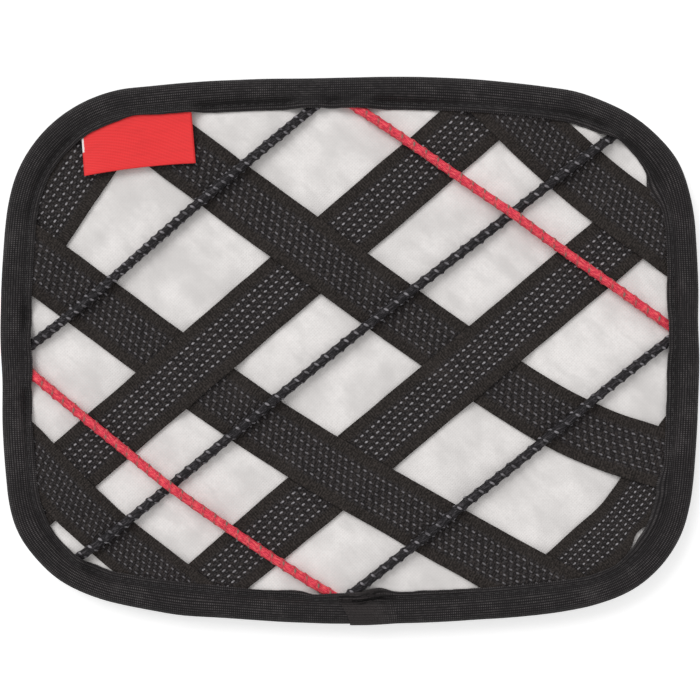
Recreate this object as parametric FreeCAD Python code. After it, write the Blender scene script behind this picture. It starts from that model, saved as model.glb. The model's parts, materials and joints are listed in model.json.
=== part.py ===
import FreeCAD, Part
import math
import os

# Cable organizer pouch, lying flat on its back with the elastic grid up.
# Frame: millimetres, origin at the middle of the footprint on the table,
# +X to the right and +Y up across the front face, +Z out of the front face.
# The body is a stack: binding, back panel with a zipped pocket, pocket lining, board, foam
# and front panel. Woven straps and round cords cross the front and are sewn in at the rim.

Vector = FreeCAD.Vector
UP = Vector(0, 0, 1)

# ---- outline of the pouch: four bowed sides joined by four corner arcs -------------------
HALF_X = 103.4
HALF_Y = 81.0
# radius of each bowed side, and how far its highest point lies off the middle
LEFT_BOW, LEFT_SHIFT = 457.0, 1.5
RIGHT_BOW, RIGHT_SHIFT = 502.0, 4.0
TOP_BOW, TOP_SHIFT = 566.0, -2.0
BOTTOM_BOW, BOTTOM_SHIFT = 459.0, 4.0
CORNER_TOP_LEFT, CORNER_TOP_RIGHT = 42.0, 44.5
CORNER_BOTTOM_LEFT, CORNER_BOTTOM_RIGHT = 38.5, 38.0

# ---- binding and the filler cord that it is folded over ----------------------------------
BINDING_WIDTH = 9.3
BINDING_T = 0.65
BINDING_ROUND = 3.2          # radius of the fold round the outer edge
BEAD_RISE = 0.55             # the folded edge stands this much over the flat front flange
BEAD_END = 6.0               # inset where the bead has come down to the flange
OVERLAP_LENGTH = 11.0        # the tape's folded end laps over its start
OVERLAP_T = 0.3
LAYER_INSET = 6.4            # the layers are caught in the binding up to this inset
SEAT = 0.05                  # gap between faces that lie on each other

# ---- stack, from the table up ------------------------------------------------------------
BACK_RIM_Z = BINDING_T + SEAT
BACK_T = 0.5
BACK_RAISE = 1.65            # the back panel stands hollow by this much over its rim
RAISE_FROM, RAISE_TO = 10.0, 16.0
CHAIN_Z = 3.1                # mid-plane of the zipper's tape and coils
LINING_Z, LINING_T = 4.6, 0.25
BOARD_T = 0.9
FOAM_T = 1.2
FRONT_T = 0.45
BOARD_Z = LINING_Z + LINING_T + SEAT
FOAM_Z = BOARD_Z + BOARD_T + SEAT
FRONT_Z = FOAM_Z + FOAM_T + SEAT
PANEL_TOP = FRONT_Z + FRONT_T
FLANGE_Z = PANEL_TOP + 2.0   # underside of the binding's front flange
FLANGE_TOP = FLANGE_Z + BINDING_T

# ---- elastic straps: routes of their middles across the front ------------------------------
STRAP_WIDTH = 17.8
NARROW_STRAP_WIDTH = 15.0    # of the one that spans the lower left corner
STRAP_T = 0.9
STRAP_STEP = STRAP_T + SEAT  # lift of a strap that crosses over another
RAMP = 5.0                   # length over which a strap climbs or falls by one step
PAST_RIM = 25.0              # routes run on this far and are cut at the rim
STRAP_ROUTES = {
    "strap_rising_1": [(-91.5, 35.6), (-64.9, 75.2)],
    "strap_rising_2": [(-80.8, -33.5), (32.9, 64.1)],
    "strap_rising_3": [(-41.8, -70.1), (68.6, 23.5)],
    "strap_rising_4": [(57.0, -72.0), (76.5, -58.5), (89.0, -37.0)],
    "strap_falling_1": [(44.8, 73.5), (71.5, 48.5), (98.1, 29.6)],
    "strap_falling_2": [(-68.5, 72.0), (1.0, 20.3), (47.5, -12.3), (69.7, -25.0), (94.2, -33.6)],
    "strap_falling_3": [(-99.0, 30.9), (-49.9, -5.6), (-14.6, -30.0), (41.0, -61.5), (62.3, -72.6)],
    "strap_falling_4": [(-96.7, -27.9), (-74.2, -52.9), (-47.3, -72.9)],
}
# each strap, and the straps that it passes over
PASSES_OVER = {
    "strap_rising_2": ["strap_falling_3"],
    "strap_rising_3": ["strap_falling_2"],
    "strap_falling_1": ["strap_rising_2", "strap_rising_3"],
    "strap_falling_2": ["strap_rising_1", "strap_rising_2", "strap_rising_4"],
    "strap_falling_3": ["strap_rising_1", "strap_rising_3", "strap_rising_4"],
    "strap_falling_4": ["strap_rising_2", "strap_rising_3"],
}

# ---- elastic cords: heights of their middles over the front panel --------------------------
CORD_DIAMETER = 2.8
TUCK = PANEL_TOP + 1.45      # where the binding holds them down
RUN = PANEL_TOP + 2.45       # over the straps
DIP = PANEL_TOP + 1.2        # a black cord pressed down where a red one crosses it
HOP = PANEL_TOP + 4.95       # the red cord at that crossing
CORD_ROUTES = {
    "cord_black_1": [(-97.5, -0.2, TUCK), (-86.5, 7.0, RUN), (-46.3, 42.8, RUN), (-18.5, 66.2, RUN),
                     (-8.5, 74.5, TUCK)],
    "cord_black_2": [(-84.5, -64.1, RUN), (-74.0, -57.2, RUN), (-62.0, -47.5, RUN),
                     (-53.1, -40.2, DIP), (-45.0, -33.5, RUN), (0.2, 3.7, RUN), (39.2, 33.6, RUN),
                     (47.9, 40.4, DIP), (55.8, 46.6, RUN), (69.5, 57.3, RUN), (80.0, 64.8, RUN)],
    "cord_black_3": [(-1.2, -73.9, TUCK), (13.5, -62.2, RUN), (48.0, -36.0, RUN), (58.5, -27.3, RUN),
                     (81.0, -7.5, RUN), (96.0, 3.6, TUCK)],
    "cord_red_1": [(-1.5, 74.0, TUCK), (12.5, 64.9, RUN), (37.9, 47.2, RUN), (47.9, 40.2, HOP),
                   (58.7, 32.5, RUN), (85.9, 13.3, RUN), (96.5, 5.8, TUCK)],
    "cord_red_2": [(-97.0, -4.9, TUCK), (-81.5, -17.6, RUN), (-64.0, -31.8, RUN),
                   (-53.1, -40.2, HOP), (-44.0, -47.2, RUN), (-16.5, -65.9, RUN),
                   (-4.0, -73.4, TUCK)],
}

# ---- folded label, sewn in at the upper left corner ---------------------------------------
LABEL_T = 0.5
LABEL_Z = PANEL_TOP + 2 * STRAP_STEP + SEAT
LABEL_SEAM = [(-79.5, 61.4), (-46.5, 69.3)]     # the line about which its free flap lifts
LABEL_HEM = [(-78.6, 51.4), (-61.5, 54.0), (-45.4, 55.2)]
LABEL_GAP = 0.35             # from the seam line to the strip that stays down
LABEL_CLEAR = 0.8            # from the flap to the binding

# ---- zipper of the pocket in the back ------------------------------------------------------
ZIP_Y = 30.0
WINDOW_HALF_LENGTH, WINDOW_HALF_WIDTH = 72.0, 4.2
TAPE_HALF_LENGTH, TAPE_WIDTH, TAPE_T = 80.0, 11.0, 0.4
TAPE_EDGE = 1.55             # distance of a tape's beaded edge from the chain's middle
COIL_T = 1.3
COIL_OUTER, COIL_INNER = 2.1, 1.2
TOOTH_REACH = 0.6            # a tooth passes the middle of the chain by this much
TOOTH_NECK, TOOTH_BELLY = 0.5, 0.66
COIL_PITCH = 1.5
SLIDER_X = 64.0              # at rest the zipper is closed
SLIDER_LENGTH = 9.0
SLIDER_FRONT_WIDTH, SLIDER_REAR_WIDTH = 7.4, 6.2
SLIDER_PLATE_T = 0.55
SLIDER_CAVITY = 1.6
SLIDER_SLOT = 0.7            # slot between the side walls, where the tape runs
WALL_T = 0.5
DIAMOND = [(0.9, 0.0), (2.9, 1.1), (3.9, 0.6), (3.9, -0.6), (2.9, -1.1)]
CROWN_HALF_LENGTH, CROWN_WIDTH, CROWN_T, TUNNEL = 2.6, 1.8, 0.5, 1.0
PULL_LENGTH, PULL_WIDTH, PULL_T = 20.0, 5.6, 0.7
PULL_EYE_WIDTH, PULL_EYE_LENGTH = 3.0, 4.2
STOP_LENGTH, STOP_T = 2.0, 1.5


# ---- outline ---------------------------------------------------------------------------------
def corner_centre(side, ceiling, radius, to_right, to_top):
    """Centre of the corner arc that lies inside and touches both bowed sides."""
    (side_centre, side_radius), (top_centre, top_radius) = side, ceiling
    a, b = side_radius - radius, top_radius - radius
    across = top_centre - side_centre
    gap = across.Length
    along = (a * a - b * b + gap * gap) / (2 * gap)
    off = math.sqrt(a * a - along * along)
    unit = across / gap
    normal = Vector(-unit.y, unit.x, 0)
    spots = [side_centre + unit * along + normal * off * sign for sign in (1, -1)]
    return max(spots, key=lambda spot: spot.x * to_right + spot.y * to_top)


def angle_of(vector):
    return math.degrees(math.atan2(vector.y, vector.x))


def outline_arcs():
    """Eight arcs (centre, radius, start angle, sweep) that run anticlockwise round the pouch."""
    right = (Vector(HALF_X - RIGHT_BOW, RIGHT_SHIFT, 0), RIGHT_BOW)
    top = (Vector(TOP_SHIFT, HALF_Y - TOP_BOW, 0), TOP_BOW)
    left = (Vector(LEFT_BOW - HALF_X, LEFT_SHIFT, 0), LEFT_BOW)
    bottom = (Vector(BOTTOM_SHIFT, BOTTOM_BOW - HALF_Y, 0), BOTTOM_BOW)
    corners = [
        (corner_centre(right, top, CORNER_TOP_RIGHT, 1, 1), CORNER_TOP_RIGHT),
        (corner_centre(left, top, CORNER_TOP_LEFT, -1, 1), CORNER_TOP_LEFT),
        (corner_centre(left, bottom, CORNER_BOTTOM_LEFT, -1, -1), CORNER_BOTTOM_LEFT),
        (corner_centre(right, bottom, CORNER_BOTTOM_RIGHT, 1, -1), CORNER_BOTTOM_RIGHT),
    ]
    ring = [right, corners[0], top, corners[1], left, corners[2], bottom, corners[3]]
    joins = []
    for index, (centre, radius) in enumerate(ring):
        following_centre, following_radius = ring[(index + 1) % len(ring)]
        small_last = following_radius < radius
        toward = following_centre - centre if small_last else centre - following_centre
        joins.append(angle_of(toward))
    arcs = []
    for index, (centre, radius) in enumerate(ring):
        start = joins[index - 1]
        arcs.append((centre, radius, start, (joins[index] - start) % 360))
    return arcs


ARCS = outline_arcs()


def on_arc(centre, radius, degrees, z):
    turn = math.radians(degrees)
    return Vector(centre.x + radius * math.cos(turn), centre.y + radius * math.sin(turn), z)


def outline_wire(inset, z):
    edges = []
    for centre, radius, start, sweep in ARCS:
        points = [on_arc(centre, radius - inset, start + sweep * part, z) for part in (0, 0.5, 1)]
        edges.append(Part.Arc(*points).toShape())
    return Part.Wire(edges)


def plate(inset, z, thickness):
    """Flat layer whose edge runs at an inset from the pouch's outline."""
    return Part.Face(outline_wire(inset, z)).extrude(UP * thickness)


def tapered_plate(low_inset, low_z, high_inset, high_z):
    return Part.makeLoft([outline_wire(low_inset, low_z), outline_wire(high_inset, high_z)], True, True)


def swept_ring(section, arcs=None):
    """Solid ring with a section drawn in (inset, z), as edges, carried round the outline."""
    pieces = []
    for centre, radius, start, sweep in arcs or ARCS:
        turn = math.radians(start)
        outward = Vector(math.cos(turn), math.sin(turn), 0)

        def place(inset, z):
            return centre + outward * (radius - inset) + UP * z
        face = Part.Face(Part.Wire(section(place)))
        pieces.append(face.revolve(centre, UP, sweep))
    return pieces[0].fuse(pieces[1:]) if len(pieces) > 1 else pieces[0]


# ---- sections of the rim, drawn in (inset, z) ------------------------------------------------
def line(a, b):
    return Part.LineSegment(a, b).toShape()


def polyline(points):
    return [line(a, b) for a, b in zip(points, points[1:])]


def quarter(place, inset, z, radius, upper):
    """Quarter arc of the outer fold about a centre at (inset, z), running upwards."""
    diagonal = radius * math.sqrt(0.5)
    side, middle = place(inset - radius, z), place(inset - diagonal, z + (diagonal if upper else -diagonal))
    end = place(inset, z + (radius if upper else -radius))
    points = (side, middle, end) if upper else (end, middle, side)
    return Part.Arc(*points).toShape()


def binding_section(place):
    """Tape folded over the edge: back flange, round fold with a raised bead, front flange."""
    bead_top = FLANGE_TOP + BEAD_RISE
    inner_round = BINDING_ROUND - BINDING_T
    low, high = BINDING_ROUND, bead_top - BINDING_ROUND
    outer = [line(place(BINDING_WIDTH, 0), place(BINDING_ROUND, 0)),
             quarter(place, BINDING_ROUND, low, BINDING_ROUND, False),
             line(place(0, low), place(0, high)),
             quarter(place, BINDING_ROUND, high, BINDING_ROUND, True)]
    front = polyline([place(BINDING_ROUND, bead_top), place(BEAD_END, FLANGE_TOP),
                      place(BINDING_WIDTH, FLANGE_TOP), place(BINDING_WIDTH, FLANGE_Z),
                      place(BEAD_END, FLANGE_Z), place(BINDING_ROUND, bead_top - BINDING_T)])
    inner = [quarter(place, BINDING_ROUND, high, inner_round, True),
             line(place(BINDING_T, high), place(BINDING_T, low)),
             quarter(place, BINDING_ROUND, low, inner_round, False),
             line(place(BINDING_ROUND, BINDING_T), place(BINDING_WIDTH, BINDING_T))]
    back = [line(place(BINDING_WIDTH, BINDING_T), place(BINDING_WIDTH, 0))]
    return Part.sortEdges(outer + front + inner + back)[0]


def filler_section(place):
    """Soft cord that fills the fold of the binding and carries its round edge."""
    gap = BINDING_T + SEAT
    low, high = BINDING_ROUND, FLANGE_TOP + BEAD_RISE - BINDING_ROUND
    radius = BINDING_ROUND - gap
    inner = LAYER_INSET - 2 * SEAT
    edges = [quarter(place, BINDING_ROUND, low, radius, False),
             line(place(gap, low), place(gap, high)),
             quarter(place, BINDING_ROUND, high, radius, True)]
    edges += polyline([place(BINDING_ROUND, high + radius), place(BEAD_END, FLANGE_Z - SEAT),
                       place(inner, FLANGE_Z - SEAT), place(inner, gap), place(BINDING_ROUND, gap)])
    return Part.sortEdges(edges)[0]


def overlap_section(place):
    """Second layer where the tape's folded end lies on its start."""
    low = FLANGE_TOP + SEAT
    high = low + BEAD_RISE
    points = [place(BINDING_WIDTH, low), place(BEAD_END, low), place(BINDING_ROUND, high),
              place(BINDING_ROUND, high + OVERLAP_T), place(BEAD_END, low + OVERLAP_T),
              place(BINDING_WIDTH, low + OVERLAP_T)]
    return polyline(points + points[:1])


def binding_overlap():
    centre, radius, _, _ = ARCS[6]
    start = angle_of(Vector(0, -HALF_Y, 0) - centre)
    sweep = math.degrees(OVERLAP_LENGTH / radius)
    return swept_ring(overlap_section, [(centre, radius, start, sweep)])


# ---- smooth routes for straps and cords --------------------------------------------------------
def smooth_route(points):
    """Straight runs joined by tangent arcs, as large as the two runs at each point allow.

    Gives one list of points per piece, two for a run and three for an arc, and the radii.
    """
    pieces, radii = [], []
    start = points[0]
    for before, corner, after in zip(points, points[1:], points[2:]):
        incoming, outgoing = corner - before, after - corner
        half_turn = incoming.getAngle(outgoing) / 2
        cut = 0.45 * min(incoming.Length, outgoing.Length)
        radius = cut / math.tan(half_turn)
        enter = corner - incoming / incoming.Length * cut
        leave = corner + outgoing / outgoing.Length * cut
        inward = (enter + leave) / 2 - corner
        depth = radius / math.cos(half_turn) - radius
        middle = corner + inward / inward.Length * depth
        pieces += [[start, enter], [enter, middle, leave]]
        radii.append(radius)
        start = leave
    pieces.append([start, points[-1]])
    return pieces, radii


def edge_through(points):
    curve = Part.LineSegment(*points) if len(points) == 2 else Part.Arc(*points)
    return curve.toShape()


def shifted(piece, distance):
    """The same run or arc, moved to the left of its own direction by a distance."""
    chord = piece[-1] - piece[0]
    normal = Vector(-chord.y, chord.x, 0) / chord.Length
    if len(piece) == 2:
        return [point + normal * distance for point in piece]
    circle = Part.Arc(*piece).toShape().Curve
    centre, radius = circle.Center, circle.Radius
    side = 1 if (centre - piece[1]).dot(normal) > 0 else -1
    scale = (radius - side * distance) / radius
    return [centre + (point - centre) * scale for point in piece]


def strap_width(name):
    return NARROW_STRAP_WIDTH if name == "strap_falling_4" else STRAP_WIDTH


def long_route(name):
    """A strap's route, run on past the rim at both ends."""
    points = [Vector(x, y, 0) for x, y in STRAP_ROUTES[name]]
    first, last = points[0] - points[1], points[-1] - points[-2]
    points[0] = points[0] + first / first.Length * PAST_RIM
    points[-1] = points[-1] + last / last.Length * PAST_RIM
    return points


def crossing(name, other):
    """Where the middles of two straps cross, and the angle between them."""
    wires = [Part.Wire([edge_through(piece) for piece in smooth_route(long_route(each))[0]])
             for each in (name, other)]
    spot = wires[0].distToShape(wires[1])[1][0][0]
    headings = []
    for wire in wires:
        edge = min(wire.Edges, key=lambda each: each.distToShape(Part.Vertex(spot))[0])
        headings.append(edge.Curve.tangent(edge.Curve.parameter(spot))[0])
    return spot, headings[0].getAngle(headings[1])


def lifted_stretches(name, origin, heading):
    """Stretches of a strap's length, along its chord, where it lies on another strap."""
    stretches = []
    for other in PASSES_OVER.get(name, []):
        spot, angle = crossing(name, other)
        reach = (strap_width(other) + strap_width(name) * abs(math.cos(angle))) / 2 / math.sin(angle) + 0.6
        middle = (spot - origin).dot(heading)
        stretches.append([middle - reach, middle + reach])
    merged = []
    for low, high in sorted(stretches):
        if merged and low - merged[-1][1] < 2 * RAMP:
            merged[-1][1] = high
        else:
            merged.append([low, high])
    return merged


def strap(name):
    """Woven strap: its plan cut from its side profile, which rises where it crosses others."""
    points = long_route(name)
    pieces, _ = smooth_route(points)
    half = strap_width(name) / 2
    left = [edge_through(shifted(piece, half)) for piece in pieces]
    right = [edge_through(shifted(piece, -half)) for piece in pieces]
    ends = [line(shifted(pieces[0], half)[0], shifted(pieces[0], -half)[0]),
            line(shifted(pieces[-1], half)[-1], shifted(pieces[-1], -half)[-1])]
    plan = Part.Face(Part.Wire(Part.sortEdges(left + right + ends)[0])).extrude(UP * FLANGE_TOP)

    heading = (points[-1] - points[0]) / (points[-1] - points[0]).Length
    sideways = Vector(-heading.y, heading.x, 0)
    length = (points[-1] - points[0]).Length
    floor = PANEL_TOP + SEAT
    under = [(0, floor)]
    for low, high in lifted_stretches(name, points[0], heading):
        under += [(low - RAMP, floor), (low, floor + STRAP_STEP),
                  (high, floor + STRAP_STEP), (high + RAMP, floor)]
    under.append((length, floor))
    profile = under + [(along, z + STRAP_T) for along, z in reversed(under)]
    corners = [points[0] + heading * along + UP * z - sideways * 2 * STRAP_WIDTH for along, z in profile]
    side = Part.Face(Part.makePolygon(corners + corners[:1])).extrude(sideways * 4 * STRAP_WIDTH)
    inside = plate(LAYER_INSET, 0, FLANGE_TOP)
    return plan.common(side).common(inside)


def cord(name):
    """Round cord along its route, pressed flat where the binding's flange lies on its ends."""
    pieces, radii = smooth_route([Vector(*point) for point in CORD_ROUTES[name]])
    path = Part.Wire([edge_through(piece) for piece in pieces])
    heading = pieces[0][1] - pieces[0][0]
    section = Part.Wire(Part.makeCircle(CORD_DIAMETER / 2, pieces[0][0], heading))
    tube = path.makePipeShell([section], True, False)
    expected = math.pi * CORD_DIAMETER ** 2 / 4 * path.Length
    print(f"{name}: length {path.Length:.1f} mm, radii {[round(radius) for radius in radii]} mm,"
          f" volume / (section x length) {tube.Volume / expected:.4f}")
    flange = plate(LAYER_INSET - 1, FLANGE_Z - SEAT, 6).cut(plate(BINDING_WIDTH + 0.1, FLANGE_Z - 1, 8))
    return tube.cut(flange).common(plate(LAYER_INSET, 0, RUN + 10))


# ---- flat layers -----------------------------------------------------------------------------
def window():
    """The slit of the back panel in which the zipper's chain lies, with round ends."""
    straight = WINDOW_HALF_LENGTH - WINDOW_HALF_WIDTH
    slot = Part.makeBox(2 * straight, 2 * WINDOW_HALF_WIDTH, FLANGE_Z,
                        Vector(-straight, ZIP_Y - WINDOW_HALF_WIDTH, 0))
    ends = [Part.makeCylinder(WINDOW_HALF_WIDTH, FLANGE_Z, Vector(x, ZIP_Y, 0)) for x in (-straight, straight)]
    return slot.fuse(ends)


def back_panel():
    """Cloth back of the pocket: flat under the binding, standing hollow inside it."""
    rim = plate(LAYER_INSET, BACK_RIM_Z, BACK_T)
    crown = tapered_plate(RAISE_FROM, BACK_RIM_Z + BACK_T, RAISE_TO, BACK_RIM_Z + BACK_T + BACK_RAISE)
    hollow = tapered_plate(RAISE_FROM, BACK_RIM_Z, RAISE_TO, BACK_RIM_Z + BACK_RAISE)
    return rim.fuse(crown).cut(hollow).cut(window())


# ---- label -----------------------------------------------------------------------------------
def label_seam():
    """The strip of the label between the binding and the line where its flap lifts."""
    start, end = [Vector(x, y, LABEL_Z) for x, y in LABEL_SEAM]
    heading = (end - start) / (end - start).Length
    normal = Vector(-heading.y, heading.x, 0)
    corners = [start + normal * LABEL_GAP, end + normal * LABEL_GAP, end + normal * 9, start + normal * 9]
    strip = Part.Face(Part.makePolygon(corners + corners[:1])).extrude(UP * LABEL_T)
    return strip.common(plate(BINDING_WIDTH + SEAT, LABEL_Z - 1, LABEL_T + 2))


def label_flap():
    seam = [Vector(x, y, LABEL_Z) for x, y in LABEL_SEAM]
    hem = [Vector(x, y, LABEL_Z) for x, y in LABEL_HEM]
    edges = [line(seam[0], seam[1]), line(seam[1], hem[2]), Part.Arc(*hem).toShape(), line(hem[0], seam[0])]
    flap = Part.Face(Part.Wire(Part.sortEdges(edges)[0])).extrude(UP * LABEL_T)
    return flap.common(plate(BINDING_WIDTH + LABEL_CLEAR, LABEL_Z - 1, LABEL_T + 2))


# ---- zipper ----------------------------------------------------------------------------------
def zipper_tape(side):
    low = TAPE_EDGE if side > 0 else -TAPE_WIDTH - TAPE_EDGE
    return Part.makeBox(2 * TAPE_HALF_LENGTH, TAPE_WIDTH, TAPE_T,
                        Vector(-TAPE_HALF_LENGTH, ZIP_Y + low, CHAIN_Z - TAPE_T / 2))


def zipper_coil(side):
    """One row of the coil: a spine that grips the tape's edge, and teeth that reach across."""
    start = -WINDOW_HALF_LENGTH + STOP_LENGTH + 3.2
    end = SLIDER_X + 0.5
    count = int((end - start) / COIL_PITCH) - 1
    shift = COIL_PITCH / 4 * side
    comb = [(start, COIL_OUTER), (start, COIL_INNER)]
    for index in range(count):
        x = start + COIL_PITCH * (index + 1) + shift
        comb += [(x - TOOTH_NECK / 2, COIL_INNER), (x - TOOTH_BELLY / 2, 0.15),
                 (x - TOOTH_NECK / 2, -TOOTH_REACH), (x + TOOTH_NECK / 2, -TOOTH_REACH),
                 (x + TOOTH_BELLY / 2, 0.15), (x + TOOTH_NECK / 2, COIL_INNER)]
    comb += [(end, COIL_INNER), (end, COIL_OUTER)]
    corners = [Vector(x, ZIP_Y + side * y, CHAIN_Z - COIL_T / 2) for x, y in comb]
    row = Part.Face(Part.makePolygon(corners + corners[:1])).extrude(UP * COIL_T)
    grip = Part.makeBox(2 * TAPE_HALF_LENGTH, COIL_OUTER, TAPE_T + 2 * SEAT,
                        Vector(-TAPE_HALF_LENGTH, 0, CHAIN_Z - TAPE_T / 2 - SEAT))
    inner_face = TAPE_EDGE - SEAT
    grip.translate(Vector(0, ZIP_Y + (inner_face if side > 0 else -inner_face - COIL_OUTER), 0))
    return row.cut(grip)


def slider_outline(shrink, z):
    """Shield shape of the slider's plates: wide mouth in front, narrow throat behind."""
    front, rear = SLIDER_FRONT_WIDTH / 2 - shrink, SLIDER_REAR_WIDTH / 2 - shrink
    half = SLIDER_LENGTH / 2
    shoulder = half - 1.0
    corners = {name: Vector(SLIDER_X + x, ZIP_Y + y, z) for name, x, y in (
        ("rear_low", -half, -rear), ("rear_high", -half, rear), ("high", shoulder, front),
        ("nose", half, 0), ("low", shoulder, -front))}
    edges = [line(corners["low"], corners["rear_low"]), line(corners["rear_low"], corners["rear_high"]),
             line(corners["rear_high"], corners["high"]),
             Part.Arc(corners["high"], corners["nose"], corners["low"]).toShape()]
    return Part.Face(Part.Wire(edges))


def zipper_slider():
    """Two plates held apart by the diamond, side walls that guide the coils, and the crown."""
    half_cavity = SLIDER_CAVITY / 2
    reach = half_cavity + SLIDER_PLATE_T
    plates = [slider_outline(0, CHAIN_Z - reach).extrude(UP * SLIDER_PLATE_T),
              slider_outline(0, CHAIN_Z + half_cavity).extrude(UP * SLIDER_PLATE_T)]
    walls = slider_outline(0, CHAIN_Z - half_cavity).extrude(UP * SLIDER_CAVITY)
    walls = walls.cut(slider_outline(WALL_T, CHAIN_Z - half_cavity).extrude(UP * SLIDER_CAVITY))
    mouth = Part.makeBox(SLIDER_LENGTH, 2 * SLIDER_FRONT_WIDTH, SLIDER_CAVITY,
                         Vector(SLIDER_X + 1.6, ZIP_Y - SLIDER_FRONT_WIDTH, CHAIN_Z - half_cavity))
    throat = Part.makeBox(1.0, SLIDER_REAR_WIDTH - 2 * WALL_T, SLIDER_CAVITY,
                          Vector(SLIDER_X - SLIDER_LENGTH / 2 - 0.5,
                                 ZIP_Y - SLIDER_REAR_WIDTH / 2 + WALL_T, CHAIN_Z - half_cavity))
    slot = Part.makeBox(2 * SLIDER_LENGTH, 2 * SLIDER_FRONT_WIDTH, SLIDER_SLOT,
                        Vector(SLIDER_X - SLIDER_LENGTH, ZIP_Y - SLIDER_FRONT_WIDTH, CHAIN_Z - SLIDER_SLOT / 2))
    walls = walls.cut([mouth, throat, slot])
    corners = [Vector(SLIDER_X + x, ZIP_Y + y, CHAIN_Z - half_cavity) for x, y in DIAMOND]
    diamond = Part.Face(Part.makePolygon(corners + corners[:1])).extrude(UP * SLIDER_CAVITY)
    return plates[0].fuse([plates[1], walls, diamond, slider_crown(CHAIN_Z - reach)])


def slider_crown(plate_z):
    """Bridge over the outer plate; the pull's bar turns in its tunnel."""
    half, low = CROWN_HALF_LENGTH, plate_z - TUNNEL - CROWN_T
    edge = CROWN_T * 1.4
    profile = [(-half, plate_z), (-half, low + edge), (-half + edge, low), (half - edge, low),
               (half, low + edge), (half, plate_z), (half - edge, plate_z),
               (half - edge, low + CROWN_T), (-half + edge, low + CROWN_T), (-half + edge, plate_z)]
    corners = [Vector(SLIDER_X + x, ZIP_Y - CROWN_WIDTH / 2, z) for x, z in profile]
    return Part.Face(Part.makePolygon(corners + corners[:1])).extrude(Vector(0, CROWN_WIDTH, 0))


def pull_axis_z():
    return CHAIN_Z - SLIDER_CAVITY / 2 - SLIDER_PLATE_T - TUNNEL / 2


def zipper_pull():
    """Flat tab with an eye at one end, whose bar lies under the slider's crown."""
    z = pull_axis_z() - PULL_T / 2
    half, tip = PULL_WIDTH / 2, SLIDER_X - PULL_LENGTH
    eye_half = PULL_EYE_WIDTH / 2
    body = Part.makeBox(PULL_LENGTH - half, PULL_WIDTH, PULL_T, Vector(tip + half, ZIP_Y - half, z))
    tab = body.fuse(Part.makeCylinder(half, PULL_T, Vector(tip + half, ZIP_Y, z)))
    bar = Part.makeCylinder(PULL_T / 2, PULL_WIDTH, Vector(SLIDER_X, ZIP_Y - half, z + PULL_T / 2),
                            Vector(0, 1, 0))
    eye = Part.makeBox(PULL_EYE_LENGTH, PULL_EYE_WIDTH, PULL_T,
                       Vector(SLIDER_X - PULL_EYE_LENGTH, ZIP_Y - eye_half, z))
    waist = [Part.makeCylinder(9.0, PULL_T, Vector(tip + 9.5, ZIP_Y + side * (9.0 + half - 0.7), z))
             for side in (-1, 1)]
    hole = Part.makeCylinder(1.1, PULL_T, Vector(tip + half, ZIP_Y, z))
    return tab.cut([eye, hole] + waist).fuse(bar)


def grooved(block):
    """A block pressed on the tapes' edges: hollow where the tapes pass through it."""
    tapes = Part.makeBox(2 * TAPE_HALF_LENGTH, 2 * TAPE_WIDTH, TAPE_T + 2 * SEAT,
                         Vector(-TAPE_HALF_LENGTH, ZIP_Y - TAPE_WIDTH, CHAIN_Z - TAPE_T / 2 - SEAT))
    middle = 2 * (TAPE_EDGE - SEAT)
    core = Part.makeBox(2 * TAPE_HALF_LENGTH, middle, TAPE_T + 2 * SEAT,
                        Vector(-TAPE_HALF_LENGTH, ZIP_Y - middle / 2, CHAIN_Z - TAPE_T / 2 - SEAT))
    return block.cut(tapes.cut(core))


def zipper_bottom_stop():
    width = 2 * COIL_OUTER + 0.8
    block = Part.makeBox(STOP_LENGTH, width, STOP_T,
                         Vector(-WINDOW_HALF_LENGTH + 2.2, ZIP_Y - width / 2, CHAIN_Z - STOP_T / 2))
    return grooved(block)


def zipper_top_stops():
    """One clip on the edge of each tape, in front of the closed slider."""
    x = SLIDER_X + SLIDER_LENGTH / 2 + 0.4
    inner, outer = TAPE_EDGE - 0.6, COIL_OUTER + 0.5
    clips = []
    for side in (-1, 1):
        low = inner if side > 0 else -outer
        block = Part.makeBox(STOP_LENGTH, outer - inner, STOP_T, Vector(x, ZIP_Y + low, CHAIN_Z - STOP_T / 2))
        clips.append(grooved(block))
    return Part.makeCompound(clips)


def export(shape, name):
    if len(shape.Solids) == 1:
        shape = shape.Solids[0]
    shape.exportStep(os.path.join("parts", name + ".step"))


os.makedirs("parts", exist_ok=True)
NODES = {
    "edge_binding": swept_ring(binding_section),
    "binding_overlap": binding_overlap(),
    "edge_filler_cord": swept_ring(filler_section),
    "back_panel": back_panel(),
    "pocket_lining": plate(LAYER_INSET, LINING_Z, LINING_T),
    "stiffener_board": plate(LAYER_INSET, BOARD_Z, BOARD_T),
    "foam_padding": plate(LAYER_INSET, FOAM_Z, FOAM_T),
    "front_panel": plate(LAYER_INSET, FRONT_Z, FRONT_T),
    "label_seam": label_seam(),
    "label_flap": label_flap(),
    "zipper_tape_upper": zipper_tape(1),
    "zipper_tape_lower": zipper_tape(-1),
    "zipper_coil_upper": zipper_coil(1),
    "zipper_coil_lower": zipper_coil(-1),
    "zipper_top_stops": zipper_top_stops(),
    "zipper_bottom_stop": zipper_bottom_stop(),
    "zipper_slider": zipper_slider(),
    "zipper_pull": zipper_pull(),
}
NODES.update({name: strap(name) for name in STRAP_ROUTES})
NODES.update({name: cord(name) for name in CORD_ROUTES})
for node, solid in NODES.items():
    export(solid, node)
print("pull turns about x, z:", SLIDER_X, round(pull_axis_z(), 3), "label seam z:", LABEL_Z + LABEL_T / 2)
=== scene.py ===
"""Cable organizer pouch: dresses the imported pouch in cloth, elastic, cord, label and stitching."""
import json
import math
from functools import partialmethod

import bmesh
import bpy
from bpy.props import FloatProperty, FloatVectorProperty, IntProperty, PointerProperty
from mathutils import Matrix, Vector, noise
from mathutils.bvhtree import BVHTree
from mathutils.kdtree import KDTree

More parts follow.
